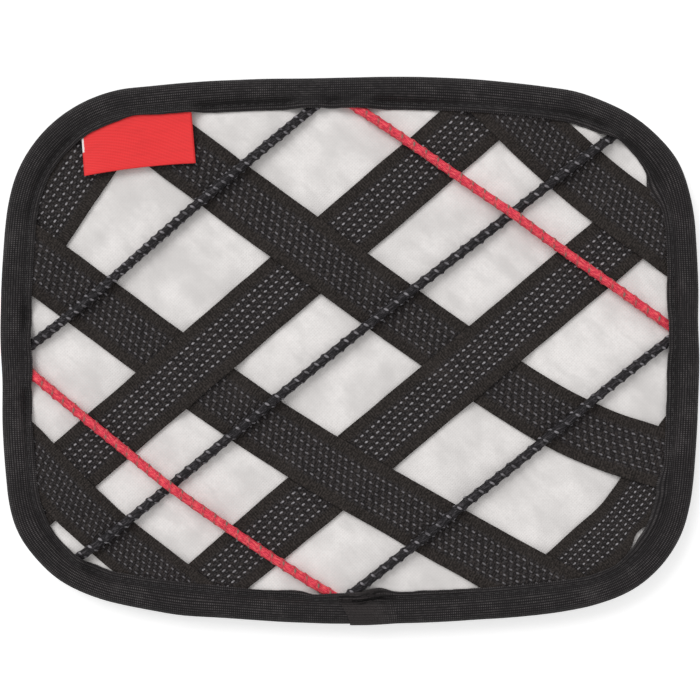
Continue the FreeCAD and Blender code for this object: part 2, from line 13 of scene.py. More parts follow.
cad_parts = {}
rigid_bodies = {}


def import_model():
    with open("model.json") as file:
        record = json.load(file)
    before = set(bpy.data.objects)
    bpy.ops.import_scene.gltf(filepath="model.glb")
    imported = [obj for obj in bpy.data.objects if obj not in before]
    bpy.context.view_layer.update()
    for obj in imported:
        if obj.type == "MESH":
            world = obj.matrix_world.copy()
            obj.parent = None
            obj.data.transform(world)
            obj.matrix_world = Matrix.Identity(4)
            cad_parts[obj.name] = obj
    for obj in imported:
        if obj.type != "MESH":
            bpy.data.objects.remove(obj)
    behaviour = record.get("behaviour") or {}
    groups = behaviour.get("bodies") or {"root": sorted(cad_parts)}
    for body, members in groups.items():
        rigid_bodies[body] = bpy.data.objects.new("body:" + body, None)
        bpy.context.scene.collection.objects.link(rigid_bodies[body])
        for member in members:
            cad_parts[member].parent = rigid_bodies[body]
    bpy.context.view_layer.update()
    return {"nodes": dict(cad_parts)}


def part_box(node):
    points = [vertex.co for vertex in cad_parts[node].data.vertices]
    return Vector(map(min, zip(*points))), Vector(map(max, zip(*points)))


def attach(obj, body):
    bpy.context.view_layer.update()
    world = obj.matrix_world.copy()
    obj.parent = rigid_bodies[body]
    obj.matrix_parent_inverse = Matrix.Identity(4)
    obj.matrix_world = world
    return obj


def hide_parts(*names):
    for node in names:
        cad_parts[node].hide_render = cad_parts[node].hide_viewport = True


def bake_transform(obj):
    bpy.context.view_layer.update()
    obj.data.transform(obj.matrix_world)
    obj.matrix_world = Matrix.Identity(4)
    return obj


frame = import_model()

bl_info = {
    "name": "Cable Organizer Pouch",
    "version": (1, 0, 0),
    "blender": (4, 5, 0),
    "location": "View3D > Sidebar > Pouch",
    "description": "Dresses the pouch in its cloth, elastic straps, cords, label and zipper",
    "category": "Object",
}

MM = 0.001
ALONG, UP = Vector((1, 0, 0)), Vector((0, 0, 1))
WEAVE = "weave"              # UV map that holds millimetres along and across the cloth

# ---- the pouch's outline, as the solids have it: four bowed sides and four corners
HALF_X, HALF_Y = 103.4 * MM, 81.0 * MM
BOWS = {"right": (502 * MM, 4.0 * MM), "top": (566 * MM, -2.0 * MM),
        "left": (457 * MM, 1.5 * MM), "bottom": (459 * MM, 4.0 * MM)}
CORNERS = {"top_right": 44.5 * MM, "top_left": 42 * MM, "bottom_left": 38.5 * MM, "bottom_right": 38 * MM}

# ---- unevenness of the sewn rim, in millimetres: distance round it, reach, and how far it goes,
# outwards for the rim itself and inwards for the binding's lip
RIM_WAVES = [(51, 8, -0.45), (76, 14, -0.25), (99, 9, 0.65), (129, 10, -0.55), (168, 24, 0.4),
             (215, 20, -0.55), (320, 9, -0.3), (375, 9, -0.5), (420, 7, 0.4), (449, 9, -0.45),
             (476, 11, 0.6), (580, 13, 0.3), (602, 8, -0.4), (642, 7, -0.3)]
LIP_WAVES = [(2, 3.5, 1.5), (29, 12, 0.2), (94, 5.0, 2.3), (105, 6, -0.4), (115, 6, -1.1),
             (131, 8, 0.6), (193, 12, 0.4), (228, 16, 0.5), (250, 8, -0.4), (267, 6, -1.1),
             (354, 7, -0.4), (371, 4, 0.6), (383, 9, -0.4), (430, 10, -0.6), (500, 8, -0.3),
             (516, 4, -0.9), (535, 4.5, 1.2), (542, 4, -0.4), (611, 7, -0.6), (628, 11, 1.1),
             (641, 7, 1.2)]

# ---- heights and widths shared by the pieces
PANEL_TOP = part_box("front_panel")[1].z
LAYER_INSET = 6.4 * MM       # the layers are caught in the binding up to here
SEAT = 0.05 * MM
FRONT_T, BACK_T, BINDING_T, LAP_T = 0.4 * MM, 0.45 * MM, 0.5 * MM, 0.42 * MM
LABEL_PLY_T, ZIP_TAPE_T = 0.2 * MM, 0.38 * MM
STRAP_WIDTH, STRAP_T, STRAP_STEP = 17.8 * MM, 0.9 * MM, 0.95 * MM
STRAP_RAMP, STRAP_PAST = 5.0 * MM, 25.0 * MM
STRAP_CROWN = 0.06 * MM      # a strap is this much higher in the middle than at its edges
CLOTH_COLUMNS, CLOTH_ROWS, CLOTH_CELL = 138, 108, 1.5    # grid of the panels, millimetres of a cell

# ---- straps: middle line, widths at the start, in between and at the end, stretch of the weave
STRAPS = {
    "strap_rising_1": ([(-91.5, 35.6), (-64.9, 75.2)], (17.8, 17.8, 17.8), 0.98),
    "strap_rising_2": ([(-80.8, -33.5), (32.9, 64.1)], (17.8, 17.8, 17.8), 1.05),
    "strap_rising_3": ([(-42.3, -69.5), (68.6, 23.5)], (15.8, 17.8, 17.8), 1.05),
    "strap_rising_4": ([(51.5, -76.2), (61.8, -67.2), (71.4, -58.4), (79.2, -51.8), (83.1, -46.6),
                        (87.2, -41.0), (92.1, -34.2)], (15.2, 15.2, 15.2), 0.90),
    "strap_falling_1": ([(44.8, 73.5), (71.5, 48.5), (98.1, 29.6)], (17.8, 17.8, 17.8), 0.97),
    "strap_falling_2": ([(-68.5, 72.0), (1.0, 20.2), (47.5, -12.3), (69.7, -25.0), (94.2, -32.7)],
                        (17.8, 17.8, 15.4), 1.12),
    "strap_falling_3": ([(-99.0, 30.9), (-49.9, -5.6), (-14.6, -30.0), (41.0, -61.5), (62.3, -72.6)],
                        (17.8, 17.8, 17.8), 1.04),
    "strap_falling_4": ([(-96.7, -28.6), (-74.2, -52.9), (-47.3, -72.9)], (12.4, 15.0, 15.0), 0.97),
}
# right-hand edges drawn in: how far along the strap, over what share of it, and how many millimetres
PINCHES = {"strap_rising_4": [(0.50, 0.045, -1.1), (0.583, 0.028, 1.8)]}
PASSES_OVER = {
    "strap_rising_2": ["strap_falling_3"],
    "strap_rising_3": ["strap_falling_2"],
    "strap_falling_1": ["strap_rising_2", "strap_rising_3"],
    "strap_falling_2": ["strap_rising_1", "strap_rising_2", "strap_rising_4"],
    "strap_falling_3": ["strap_rising_1", "strap_rising_3", "strap_rising_4"],
    "strap_falling_4": ["strap_rising_2", "strap_rising_3"],
}

# ---- cords: length in metres, then in millimetres the spacing of the flecks, turns by which the
# braid is twisted at its start and at its end, and control points in millimetres
CORDS = {
    "cord_black_1": (0.1164, 2.92, -0.10, 0.27, [
        (-97.1, -0.6, 9.0), (-86.1, 6.6, 10.0), (-45.9, 42.4, 10.0), (-18.0, 65.6, 10.0),
        (-8.8, 73.2, 9.0)]),
    "cord_black_2": (0.2092, 3.72, 0.03, 0.15, [
        (-84.5, -64.1, 10.0), (-74.0, -57.2, 10.0), (-62.0, -47.5, 10.0), (-53.1, -40.2, 8.75),
        (-45.0, -33.5, 10.0), (0.2, 3.7, 10.0), (39.2, 33.6, 10.0), (47.9, 40.4, 8.75),
        (55.8, 46.6, 10.0), (69.5, 57.3, 10.0), (80.0, 64.8, 10.0)]),
    "cord_black_3": (0.1244, 4.02, 0.05, 0.22, [
        (-1.5, -73.5, 9.0), (13.2, -61.9, 10.0), (24.6, -53.0, 10.0), (33.4, -45.5, 10.0),
        (47.1, -34.9, 10.0), (57.6, -26.2, 10.0), (66.9, -18.7, 10.0), (80.7, -7.1, 10.0),
        (95.7, 4.0, 9.0)]),
    "cord_red_1": (0.1197, 4.17, 0.13, -0.12, [
        (-1.2, 73.6, 9.0), (12.3, 64.7, 10.0), (37.7, 47.0, 10.0), (46.1, 41.1, 11.95),
        (49.3, 38.9, 11.95), (58.5, 32.3, 10.0), (85.7, 13.1, 10.0), (96.3, 5.6, 9.0)]),
    "cord_red_2": (0.1160, 4.08, -0.14, 0.08, [
        (-96.8, -4.7, 9.0), (-81.3, -17.4, 10.0), (-63.8, -31.6, 10.0), (-54.5, -38.9, 11.95),
        (-51.3, -41.2, 11.95), (-43.8, -47.0, 10.0), (-16.3, -65.7, 10.0), (-3.8, -73.2, 9.0)]),
}
CORD_STEP = 0.36 * MM
CORD_FREE, CORD_PRESSED = 12.0 * MM, 9.4 * MM    # insets between which the binding presses cords flat
CORD_CEILING = 9.88 * MM     # top of a cord that is pressed flat

# ---- label: its heights, and in millimetres the line where its flap lifts and its long edges
LABEL_LOW = 9.5 * MM
LABEL_T = 0.5 * MM
LABEL_TOP = [(-79.1, 63.6), (-46.9, 72.4)]
LABEL_BOW = 2.6 * MM         # rise of the upper edge between its ends
LABEL_HEM = [(-78.2, 51.4), (-61.5, 54.0), (-45.4, 55.2)]
LABEL_INSET = 7.6 * MM
LABEL_WEAVE = (33.2, 32.0)   # millimetres of cloth along and across

# ---- zipper in the back
ZIP_Y = 30.0 * MM
WINDOW_HALF_X, WINDOW_HALF_Y = 72.0 * MM, 4.2 * MM
CHAIN_Z = 3.1 * MM           # mid-plane of the tapes and the coils
TAPE_EDGE = 1.55 * MM        # from the middle of the chain to the edge of each tape
TAPE_WIDTH = 11.0 * MM
COIL_PITCH = 1.5 * MM
COIL_START, COIL_LOOPS = -66.8 * MM, 86
# one loop of the coil in millimetres, from the tape to its head and back:
# x, distance from the chain's middle, height, and half the wire's width and height; the upper half
# is the lower one turned over
COIL_LOOP = [
    (-0.72, 1.90, 0.00, 0.20, 0.20), (-0.18, 1.75, -0.34, 0.21, 0.20), (-0.09, 1.30, -0.42, 0.22, 0.21),
    (-0.04, 0.60, -0.42, 0.23, 0.21), (0.00, 0.00, -0.42, 0.28, 0.21), (0.00, -0.32, -0.34, 0.33, 0.20),
    (0.00, -0.42, 0.00, 0.33, 0.20),
]
COIL_LOOP += [(-x, y, -z, half_width, half_height) for x, y, z, half_width, half_height in COIL_LOOP[5:0:-1]]
# section of the hem round the window in millimetres: distance outside the window's edge, height
HEM_SECTION = [
    (2.75, 2.44), (2.66, 2.24), (2.40, 2.12), (2.05, 2.12), (1.78, 2.22), (1.46, 2.22), (1.20, 2.11),
    (0.60, 2.05), (0.10, 2.09), (-0.12, 2.26), (-0.18, 2.48), (-0.10, 2.72), (0.12, 2.85), (0.70, 2.87),
    (2.00, 2.60),
]


def srgb(red, green, blue):
    """Linear colour of a screen colour given from 0 to 255."""
    def linear(level):
        level /= 255
        return level / 12.92 if level <= 0.04045 else ((level + 0.055) / 1.055) ** 2.4
    return linear(red), linear(green), linear(blue)


def smooth(low, high, value):
    """0 below low, 1 above high, and a soft curve between; low may be the larger one."""
    part = min(1.0, max(0.0, (value - low) / (high - low)))
    return part * part * (3 - 2 * part)


def ripple(x, y, size, seed=0.0):
    """Soft random wave from -1 to 1 whose bumps are about size apart."""
    return noise.noise(Vector((x / size, y / size, seed)))


# ---- outline
def corner_centre(side, ceiling, radius, to_right, to_top):
    """Centre of the corner arc that lies inside and touches both bowed sides."""
    (side_centre, side_radius), (top_centre, top_radius) = side, ceiling
    near, far = side_radius - radius, top_radius - radius
    across = top_centre - side_centre
    gap = across.length
    along = (near * near - far * far + gap * gap) / (2 * gap)
    off = math.sqrt(near * near - along * along)
    unit = across / gap
    normal = UP.cross(unit)
    spots = [side_centre + unit * along + normal * off * sign for sign in (1, -1)]
    return max(spots, key=lambda spot: spot.x * to_right + spot.y * to_top)


def outline_arcs():
    """Eight arcs (centre, radius, start, sweep) that run anticlockwise round the pouch."""
    right = (Vector((HALF_X - BOWS["right"][0], BOWS["right"][1], 0)), BOWS["right"][0])
    top = (Vector((BOWS["top"][1], HALF_Y - BOWS["top"][0], 0)), BOWS["top"][0])
    left = (Vector((BOWS["left"][0] - HALF_X, BOWS["left"][1], 0)), BOWS["left"][0])
    bottom = (Vector((BOWS["bottom"][1], BOWS["bottom"][0] - HALF_Y, 0)), BOWS["bottom"][0])
    corners = [(corner_centre(side, ceiling, CORNERS[name], to_right, to_top), CORNERS[name])
               for name, side, ceiling, to_right, to_top in (
                   ("top_right", right, top, 1, 1), ("top_left", left, top, -1, 1),
                   ("bottom_left", left, bottom, -1, -1), ("bottom_right", right, bottom, 1, -1))]
    ring = [right, corners[0], top, corners[1], left, corners[2], bottom, corners[3]]
    joins = []
    for index, (centre, radius) in enumerate(ring):
        next_centre, next_radius = ring[(index + 1) % len(ring)]
        toward = next_centre - centre if next_radius < radius else centre - next_centre
        joins.append(math.atan2(toward.y, toward.x))
    return [(centre, radius, joins[index - 1], (joins[index] - joins[index - 1]) % math.tau)
            for index, (centre, radius) in enumerate(ring)]


ARCS = outline_arcs()
PERIMETER = sum(radius * sweep for _, radius, _, sweep in ARCS)


def rim(distance):
    """Point of the outline and its outward direction, at a distance run anticlockwise."""
    distance %= PERIMETER
    for centre, radius, start, sweep in ARCS:
        if distance <= radius * sweep:
            break
        distance -= radius * sweep
    turn = start + distance / radius
    outward = Vector((math.cos(turn), math.sin(turn), 0))
    return centre + outward * radius, outward


def rim_distance(x, y):
    """(distance round the outline, inset) of a point inside the pouch."""
    best, passed = (0.0, 1.0), 0.0
    for centre, radius, start, sweep in ARCS:
        away = Vector((x, y, 0)) - centre
        turn = (math.atan2(away.y, away.x) - start) % math.tau
        if turn <= sweep and radius - away.length < best[1]:
            best = (passed + turn * radius, radius - away.length)
        passed += radius * sweep
    return best


def trim(bm, inset):
    """Cuts a mesh off along the outline at an inset."""
    for centre, radius, start, sweep in ARCS:
        cuts = max(10, round(math.degrees(sweep) / 5))
        for cut in range(cuts):
            turn = start + sweep * (cut + 0.5) / cuts
            outward = Vector((math.cos(turn), math.sin(turn), 0))
            edge = centre + outward * (radius - inset)
            if any((vert.co - edge).dot(outward) > 0 for vert in bm.verts):
                bmesh.ops.bisect_plane(bm, geom=bm.verts[:] + bm.edges[:] + bm.faces[:], dist=1e-7,
                                       plane_co=edge, plane_no=outward, clear_outer=True)


# ---- mesh making
def woven_grid(columns, rows, place, weave):
    """Grid of quads moved into shape: place gives each point, weave its millimetres of cloth."""
    bm = bmesh.new()
    uv = bm.loops.layers.uv.new(WEAVE)
    bmesh.ops.create_grid(bm, x_segments=columns, y_segments=rows, size=0.5)
    cells = {vert: (round((vert.co.x + 0.5) * columns), round((vert.co.y + 0.5) * rows))
             for vert in bm.verts}
    for face in bm.faces:
        for loop in face.loops:
            loop[uv].uv = weave(*cells[loop.vert])
    for vert, cell in cells.items():
        vert.co = place(*cell)
    return bm


def pouch_cloth(height):
    """Cloth over the whole pouch, cut off inside the binding; height gives its z at a point."""
    def place(column, row):
        x, y = HALF_X * (2 * column / CLOTH_COLUMNS - 1), HALF_Y * (2 * row / CLOTH_ROWS - 1)
        return Vector((x, y, height(x, y, *rim_distance(x, y))))

    bm = woven_grid(CLOTH_COLUMNS, CLOTH_ROWS, place,
                    lambda column, row: (column * CLOTH_CELL, row * CLOTH_CELL))
    trim(bm, LAYER_INSET)
    return bm


def close_ends(bm, gap):
    """Merges a tube's seam, whose points lie less than gap apart, and fills its ends."""
    bmesh.ops.remove_doubles(bm, verts=bm.verts, dist=gap)
    bmesh.ops.holes_fill(bm, edges=[edge for edge in bm.edges if edge.is_boundary], sides=0)


def make_piece(bm, name, finish, body="pouch", replaces=()):
    """Turns a bmesh into a piece that rides on a body."""
    mesh = bpy.data.meshes.new(name)
    bm.to_mesh(mesh)
    bm.free()
    mesh.materials.append(finish)
    mesh.shade_smooth()
    piece = bpy.data.objects.new(name, mesh)
    bpy.context.scene.collection.objects.link(piece)
    if body:
        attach(piece, body)
    if replaces:
        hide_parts(*replaces)
    return piece


def thicken(piece, thickness, offset=-1):
    """Gives a sheet its thickness, inwards from the face that shows, or to both sides with offset 0."""
    wall = piece.modifiers.new("thickness", "SOLIDIFY")
    wall.thickness, wall.offset = thickness, offset


def soften(piece, width):
    """Rounds a piece's hard edges."""
    edge = piece.modifiers.new("soft edge", "BEVEL")
    edge.width, edge.segments, edge.limit_method = width, 2, "ANGLE"
    edge.angle_limit = math.radians(40)


def spline_points(points):
    """Points along the smooth NURBS line that has these control points."""
    curve = bpy.data.curves.new("route", "CURVE")
    curve.dimensions = "3D"
    spline = curve.splines.new("NURBS")
    spline.points.add(len(points) - 1)
    for place, point in zip(spline.points, points):
        place.co = (*point, 1)
    spline.order_u = min(3, len(points))
    spline.use_endpoint_u = True
    spline.resolution_u = 60
    holder = bpy.data.objects.new("route", curve)
    mesh = bpy.data.meshes.new_from_object(holder)
    line = [vert.co.copy() for vert in mesh.vertices]
    bpy.data.objects.remove(holder)
    bpy.data.meshes.remove(mesh)
    bpy.data.curves.remove(curve)
    return line


def evenly(line, step):
    """(points, directions) at even steps along a smooth line."""
    lengths = [0.0]
    for a, b in zip(line, line[1:]):
        lengths.append(lengths[-1] + (b - a).length)
    count = max(2, round(lengths[-1] / step))
    points, index = [], 0
    for number in range(count + 1):
        target = lengths[-1] * number / count
        while index < len(line) - 2 and lengths[index + 1] < target:
            index += 1
        part = (target - lengths[index]) / max(1e-12, lengths[index + 1] - lengths[index])
        points.append(line[index].lerp(line[index + 1], part))
    directions = [(points[min(count, number + 1)] - points[max(0, number - 1)]).normalized()
                  for number in range(count + 1)]
    return points, directions


def strap_line(name):
    """The middle of a strap at even steps, run on past the rim at both ends."""
    points = [Vector((x * MM, y * MM, 0)) for x, y in STRAPS[name][0]]
    points.insert(0, points[0] + (points[0] - points[1]).normalized() * STRAP_PAST)
    points.append(points[-1] + (points[-1] - points[-2]).normalized() * STRAP_PAST)
    return evenly(spline_points(points), 1.0 * MM)


def tree_of(points):
    """Search tree over points."""
    tree = KDTree(len(points))
    for index, point in enumerate(points):
        tree.insert(point, index)
    tree.balance()
    return tree


RAY_START = 50 * MM          # well above the pouch


def surface_of(name):
    """Search tree over the faces of a solid or a piece."""
    mesh = bpy.data.objects[name].data
    return BVHTree.FromPolygons([vert.co for vert in mesh.vertices],
                                [tuple(face.vertices) for face in mesh.polygons])


def top_of(surfaces, x, y, at_least):
    """Height of the highest surface under a point."""
    best = at_least
    for surface in surfaces:
        hit = surface.ray_cast(Vector((x, y, RAY_START)), -UP)[0]
        if hit is not None:
            best = max(best, hit.z)
    return best


# ---- materials
def put(node, **values):
    """Sets inputs of a shader node; an underscore stands for a space in an input's name."""
    for name, value in values.items():
        node.inputs[name.replace("_", " ")].default_value = value


def scaled(colour, share):
    """A colour, darker or lighter by a share of its levels."""
    return tuple(level * share for level in colour)


class Field:
    """A number that varies over a surface, held by a socket of a shader node."""

    def __init__(self, tree, socket):
        self.tree, self.socket = tree, socket

    def maths(self, operation, *others):
        node = self.tree.nodes.new("ShaderNodeMath")
        node.operation = operation
        for slot, value in zip(node.inputs, (self, *others)):
            if isinstance(value, Field):
                self.tree.links.new(value.socket, slot)
            else:
                slot.default_value = value
        return Field(self.tree, node.outputs[0])

    __add__, __sub__ = partialmethod(maths, "ADD"), partialmethod(maths, "SUBTRACT")
    __mul__, __truediv__ = partialmethod(maths, "MULTIPLY"), partialmethod(maths, "DIVIDE")
    floor, fract = partialmethod(maths, "FLOOR"), partialmethod(maths, "FRACT")
    absolute, maximum = partialmethod(maths, "ABSOLUTE"), partialmethod(maths, "MAXIMUM")

    def near(self, middle, none, full):
        """1 within full of a middle value, 0 beyond none from it."""
        return (self - middle).absolute().ease(none, full)

    def wave(self, pitch):
        """Sine from 0 to 1 that repeats every pitch."""
        return (self * (math.tau / pitch)).maths("SINE") * 0.5 + 0.5

    def ease(self, low, high):
        """0 below low, 1 above high, with a soft curve between; low may be the larger one."""
        node = self.tree.nodes.new("ShaderNodeMapRange")
        node.interpolation_type = "SMOOTHSTEP"
        self.tree.links.new(self.socket, node.inputs["Value"])
        put(node, From_Min=min(low, high), From_Max=max(low, high),
            To_Min=float(low >= high), To_Max=float(low < high))
        return Field(self.tree, node.outputs["Result"])


class Finish:
    """A node material: a Principled shader whose colour and bump are patterned by fields."""

    def __init__(self, name, **sockets):
        self.material = bpy.data.materials.new(name)
        self.material.use_nodes = True
        self.tree = self.material.node_tree
        self.shader = next(node for node in self.tree.nodes if node.type == "BSDF_PRINCIPLED")
        put(self.shader, **sockets)

    def weave(self):
        """Fields of the cloth's millimetres along and across."""
        uv = self.tree.nodes.new("ShaderNodeUVMap")
        uv.uv_map = WEAVE
        return self.parts(uv.outputs["UV"])[:2]

    def place(self):
        """Fields of the object's x, y and z in millimetres."""
        spot = self.tree.nodes.new("ShaderNodeTexCoord")
        return [part * 1000.0 for part in self.parts(spot.outputs["Object"])]

    def parts(self, socket):
        split = self.tree.nodes.new("ShaderNodeSeparateXYZ")
        self.tree.links.new(socket, split.inputs[0])
        return [Field(self.tree, split.outputs[index]) for index in range(3)]

    def cloud(self, fields, size, detail=2.0):
        """Random field whose patches are about size wide, around 0.5."""
        join = self.tree.nodes.new("ShaderNodeCombineXYZ")
        for field, slot in zip(fields, join.inputs):
            self.tree.links.new(field.socket, slot)
        node = self.tree.nodes.new("ShaderNodeTexNoise")
        self.tree.links.new(join.outputs[0], node.inputs["Vector"])
        put(node, Scale=1.0 / size, Detail=detail)
        return Field(self.tree, node.outputs[0])

    def tint(self, base, *layers):
        """Base colour with layers mixed over it in turn: a field, and a colour or a share of base."""
        under = None
        for field, colour in layers:
            mix = self.tree.nodes.new("ShaderNodeMix")
            mix.data_type = "RGBA"
            factor, low, high = mix.inputs[0], mix.inputs[6], mix.inputs[7]
            if isinstance(colour, float):
                colour = scaled(base, colour)
            self.tree.links.new(field.socket, factor)
            if under is None:
                low.default_value = (*base, 1)
            else:
                self.tree.links.new(under, low)
            high.default_value = (*colour, 1)
            under = mix.outputs[2]
        self.tree.links.new(under, self.shader.inputs["Base Color"])

    def rough(self, field):
        self.tree.links.new(field.socket, self.shader.inputs["Roughness"])

    def raised(self, height, depth, strength):
        """The material, its surface raised by height, a field from 0 to 1, times depth in metres."""
        node = self.tree.nodes.new("ShaderNodeBump")
        put(node, Distance=depth, Strength=strength)
        self.tree.links.new(height.socket, node.inputs["Height"])
        self.tree.links.new(node.outputs["Normal"], self.shader.inputs["Normal"])
        return self.material


def satin_finish(settings):
    """Pale satin cloth: fine crossed threads, with painted shade in soft patches and along creases."""
    finish = Finish("panel satin", Roughness=0.5, Specular_IOR_Level=0.3, Sheen_Weight=0.1,
                    Sheen_Roughness=0.4)
    x, y, z = finish.place()
    threads = (x + y).wave(0.98) * (x - y).wave(0.98)
    nap = finish.cloud((x, y, z), 0.9, 3.0)
    # painted shade: soft patches of shadow, and darker lines along the creases
    shade = finish.cloud((x, y, z), 13.0, 2.0)
    fold = finish.cloud((x + y, (x - y) * 0.4, z), 6.0, 2.0)
    dark = 0.72
    finish.tint(settings.colour, (threads * 0.34, dark), (nap.ease(0.35, 0.7) * 0.22, dark),
                (shade.ease(0.36, 0.70) * 0.66, dark), (fold.ease(0.44, 0.70) * 0.44, dark))
    return finish.raised(threads + nap * 0.6, 0.06 * MM, 0.6)


def elastic_finish(name, settings, fleck_colour, stagger):
    """Woven elastic: ribbed borders, and slanted flecks in rows down the middle."""
    finish = Finish(name, Roughness=0.85, Specular_IOR_Level=0.12, Sheen_Weight=0.02)
    along, across = finish.weave()
    band, row_pitch, fleck_pitch = (length / MM for length in (
        settings.band, settings.row_pitch, settings.fleck_pitch))
    wander = (finish.cloud((along, across, across), 2.6, 1.0) - 0.5) * 0.9
    middle = across.absolute().ease(band * 0.5 + 0.6, band * 0.5 - 0.4)
    rows = across / row_pitch + 0.5
    row, within = rows.floor(), rows.fract() - 0.5

    def flecks(lag, aside, long, wide, low, high):
        """Spots in rows: lag along the row, aside across it, and their size."""
        step = ((along + wander) / fleck_pitch + row * stagger + lag).fract() - 0.5
        length = (step * fleck_pitch + (within - aside) * 0.7) / (long * 0.5)
        width = (within - aside) * row_pitch / (wide * 0.5)
        return (length * length + width * width).ease(high, low)

    fleck = flecks(0.0, 0.0, settings.fleck_length / MM, settings.fleck_width / MM, 0.3, 1.5) * middle
    faint = flecks(0.25, 0.40, 0.8, 0.5, 0.2, 1.6) + flecks(0.75, -0.40, 0.8, 0.5, 0.2, 1.6)
    ribs = (along + wander * 0.3).wave(0.76)
    knit = along.wave(0.72) * across.wave(0.66)
    grain = finish.cloud((along, across * 0.6, row), 0.42, 1.0)
    wear = finish.cloud((along, across * 0.6, row), 14.0, 2.0)
    pale = 2.6
    finish.tint(settings.border_colour,
                (middle, settings.middle_colour), (ribs.ease(0.45, 0.0) * 0.45, 0.4),
                (ribs.ease(0.6, 1.0) * 0.2, pale), (knit * 0.3, pale),
                (grain.ease(0.5, 0.64) * 0.6, 0.3), (grain.ease(0.46, 0.34) * 0.55, pale),
                (faint * middle * 0.25, settings.faint_colour), (wear.ease(0.5, 0.8) * 0.15, pale),
                (fleck * (grain.ease(0.65, 0.35) * 0.5 + 0.5), fleck_colour))
    return finish.raised(fleck * 0.8 + ribs * 0.5 + knit * 0.5 + grain * 0.3, 0.12 * MM, 0.8)


def grosgrain_finish(name, settings, fold=None):
    """Binding tape: ribs across it, crossed by rows of points painted pale as highlights, with painted shade
    between the rows; plainer just past a fold.
    """
    finish = Finish(name, Roughness=0.85, Specular_IOR_Level=0.12, Sheen_Weight=0.03)
    along, across = finish.weave()
    ribs, rows = along.wave(settings.rib_pitch / MM), across.wave(settings.row_pitch / MM)
    patches = finish.cloud((along, across * 0.5, across), 7.0, 2.0)
    fuzz = finish.cloud((along, across, across), 0.5, 2.0)
    loose = finish.cloud((along * 0.7, across, across), 1.3, 1.0)
    # painted shade in the hollow behind the lip: darker, with fewer pale points
    hollow_shade = across.near(2.9, 1.5, 0.3)
    shown = (patches.ease(0.3, 0.7) * 0.5 + 0.5) * (loose.ease(0.3, 0.65) * 0.6 + 0.4)
    shown *= hollow_shade * -0.3 + 1.0
    # the pale points are painted highlight on the weave's raised points, and the darkening between the rows
    # is painted shade
    points = (ribs * rows).ease(0.18, 0.7) * shown
    row_gap_shade = rows.ease(0.45, 0.0)
    # the selvedge ridge at the lip is painted a little lighter, as a highlight
    selvedge = across.near(0.75, 0.35, 0.1) * (along.wave(0.9) * 0.4 + 0.6)
    dark = 0.3
    layers = [(points, settings.point_highlight_colour), (row_gap_shade * 0.5, dark), (hollow_shade * 0.15, dark),
              (selvedge * 0.08, settings.point_highlight_colour), (fuzz.ease(0.5, 0.7) * 0.5, dark),
              (patches.ease(0.6, 0.8) * 0.12, settings.point_highlight_colour)]
    relief = ribs * 0.45 + rows * 0.4 + fuzz * 0.3 + selvedge * 0.15
    if fold is not None:
        run = along - fold
        end = run.ease(15.0, 7.0)
        twill = (along - across).wave(0.85)
        # painted shade in the troughs of the creases near the fold; the same field sinks them in the bump
        shaded_crease = (across + loose * 1.1 + run * 0.05).wave(1.05).ease(0.42, 0.05)
        shaded_crease *= across.ease(4.6, 3.6) * across.ease(0.2, 0.9) * run.ease(13.0, 10.0)
        layers.insert(1, (end * 0.9, settings.lap_colour))
        layers.insert(2, (end * twill * 0.35, scaled(settings.lap_colour, 0.5)))
        layers.append((shaded_crease * 0.85, 0.2))
        relief = relief - shaded_crease * 2.0
    finish.tint(settings.colour, *layers)
    return finish.raised(relief + 2.0, 0.12 * MM, 0.7)


def braid_finish(name, colours, fleck_size, fleck_pitch, gloss):
    """Braided cord: lengthwise yarns with painted highlights, painted shade in the slits and grooves by each
    fleck, and four rows of flecks on a helix round it.
    """
    finish = Finish(name, Roughness=0.55, Specular_IOR_Level=gloss, Sheen_Weight=0.02, Sheen_Roughness=0.4)
    colour, yarn_highlight_colour, fleck_colour = colours
    along, around = finish.weave()
    row = (around * 4.0).floor()
    aside = (around * 4.0).fract() - 0.5
    step = ((along / fleck_pitch + row * 0.25).fract() - 0.5) * fleck_pitch
    length = (step + aside * 0.9) / fleck_size[0]
    width = aside / fleck_size[1]
    reach = length * length + width * width
    fleck, rim_shade = reach.ease(1.3, 0.3), reach.ease(3.2, 1.3)
    # painted shade: a dark slit in the step behind each fleck, and a darker groove beside it
    shaded_collar = step.near(-0.6, 0.42, 0.1)
    slant = step + aside * 1.9
    highlit_strand = slant.near(-0.34, 0.17, 0.05)
    groove = slant.near(-0.10, 0.20, 0.06)
    uneven = finish.cloud((along * 0.25, around * 8.8, row), 0.9, 1.0)
    yarn = (around * 16.0 + along * 0.45 + uneven * 1.1).wave(1.0)
    cross = (along - around * 6.0).wave(1.0)
    fuzz = finish.cloud((along, around * 8.8, row), 0.45, 2.0)
    streak_highlight = finish.cloud((along * 0.3, around * 8.8, row), 0.5, 2.0)
    patchy = finish.cloud((along, around * 8.8, around), 1.7, 2.0).ease(0.36, 0.60) * 0.6 + 0.4
    dark = 0.42
    # painted highlights in the lighter colour: on the yarns' tops, in lengthwise streaks and on the strand
    # beside each fleck
    finish.tint(colour, (yarn.ease(0.4, 0.0) * 0.5, dark), (yarn.ease(0.6, 1.0) * 0.3, yarn_highlight_colour),
                (cross.ease(0.4, 0.0) * 0.3, dark), (streak_highlight.ease(0.51, 0.64) * 0.75, yarn_highlight_colour),
                (streak_highlight.ease(0.49, 0.36) * 0.65, dark), (shaded_collar * 0.5, dark),
                (groove * 0.6, dark), (highlit_strand * 0.6, yarn_highlight_colour),
                (fuzz.ease(0.52, 0.7) * 0.2, dark), (rim_shade * 0.3, dark), (fleck * patchy, fleck_colour))
    relief = fleck * 0.7 + yarn * 0.6 + cross * 0.2 + streak_highlight * 0.5 - shaded_collar * 0.6 + 1.0
    return finish.raised(relief, 0.14 * MM, 0.8)


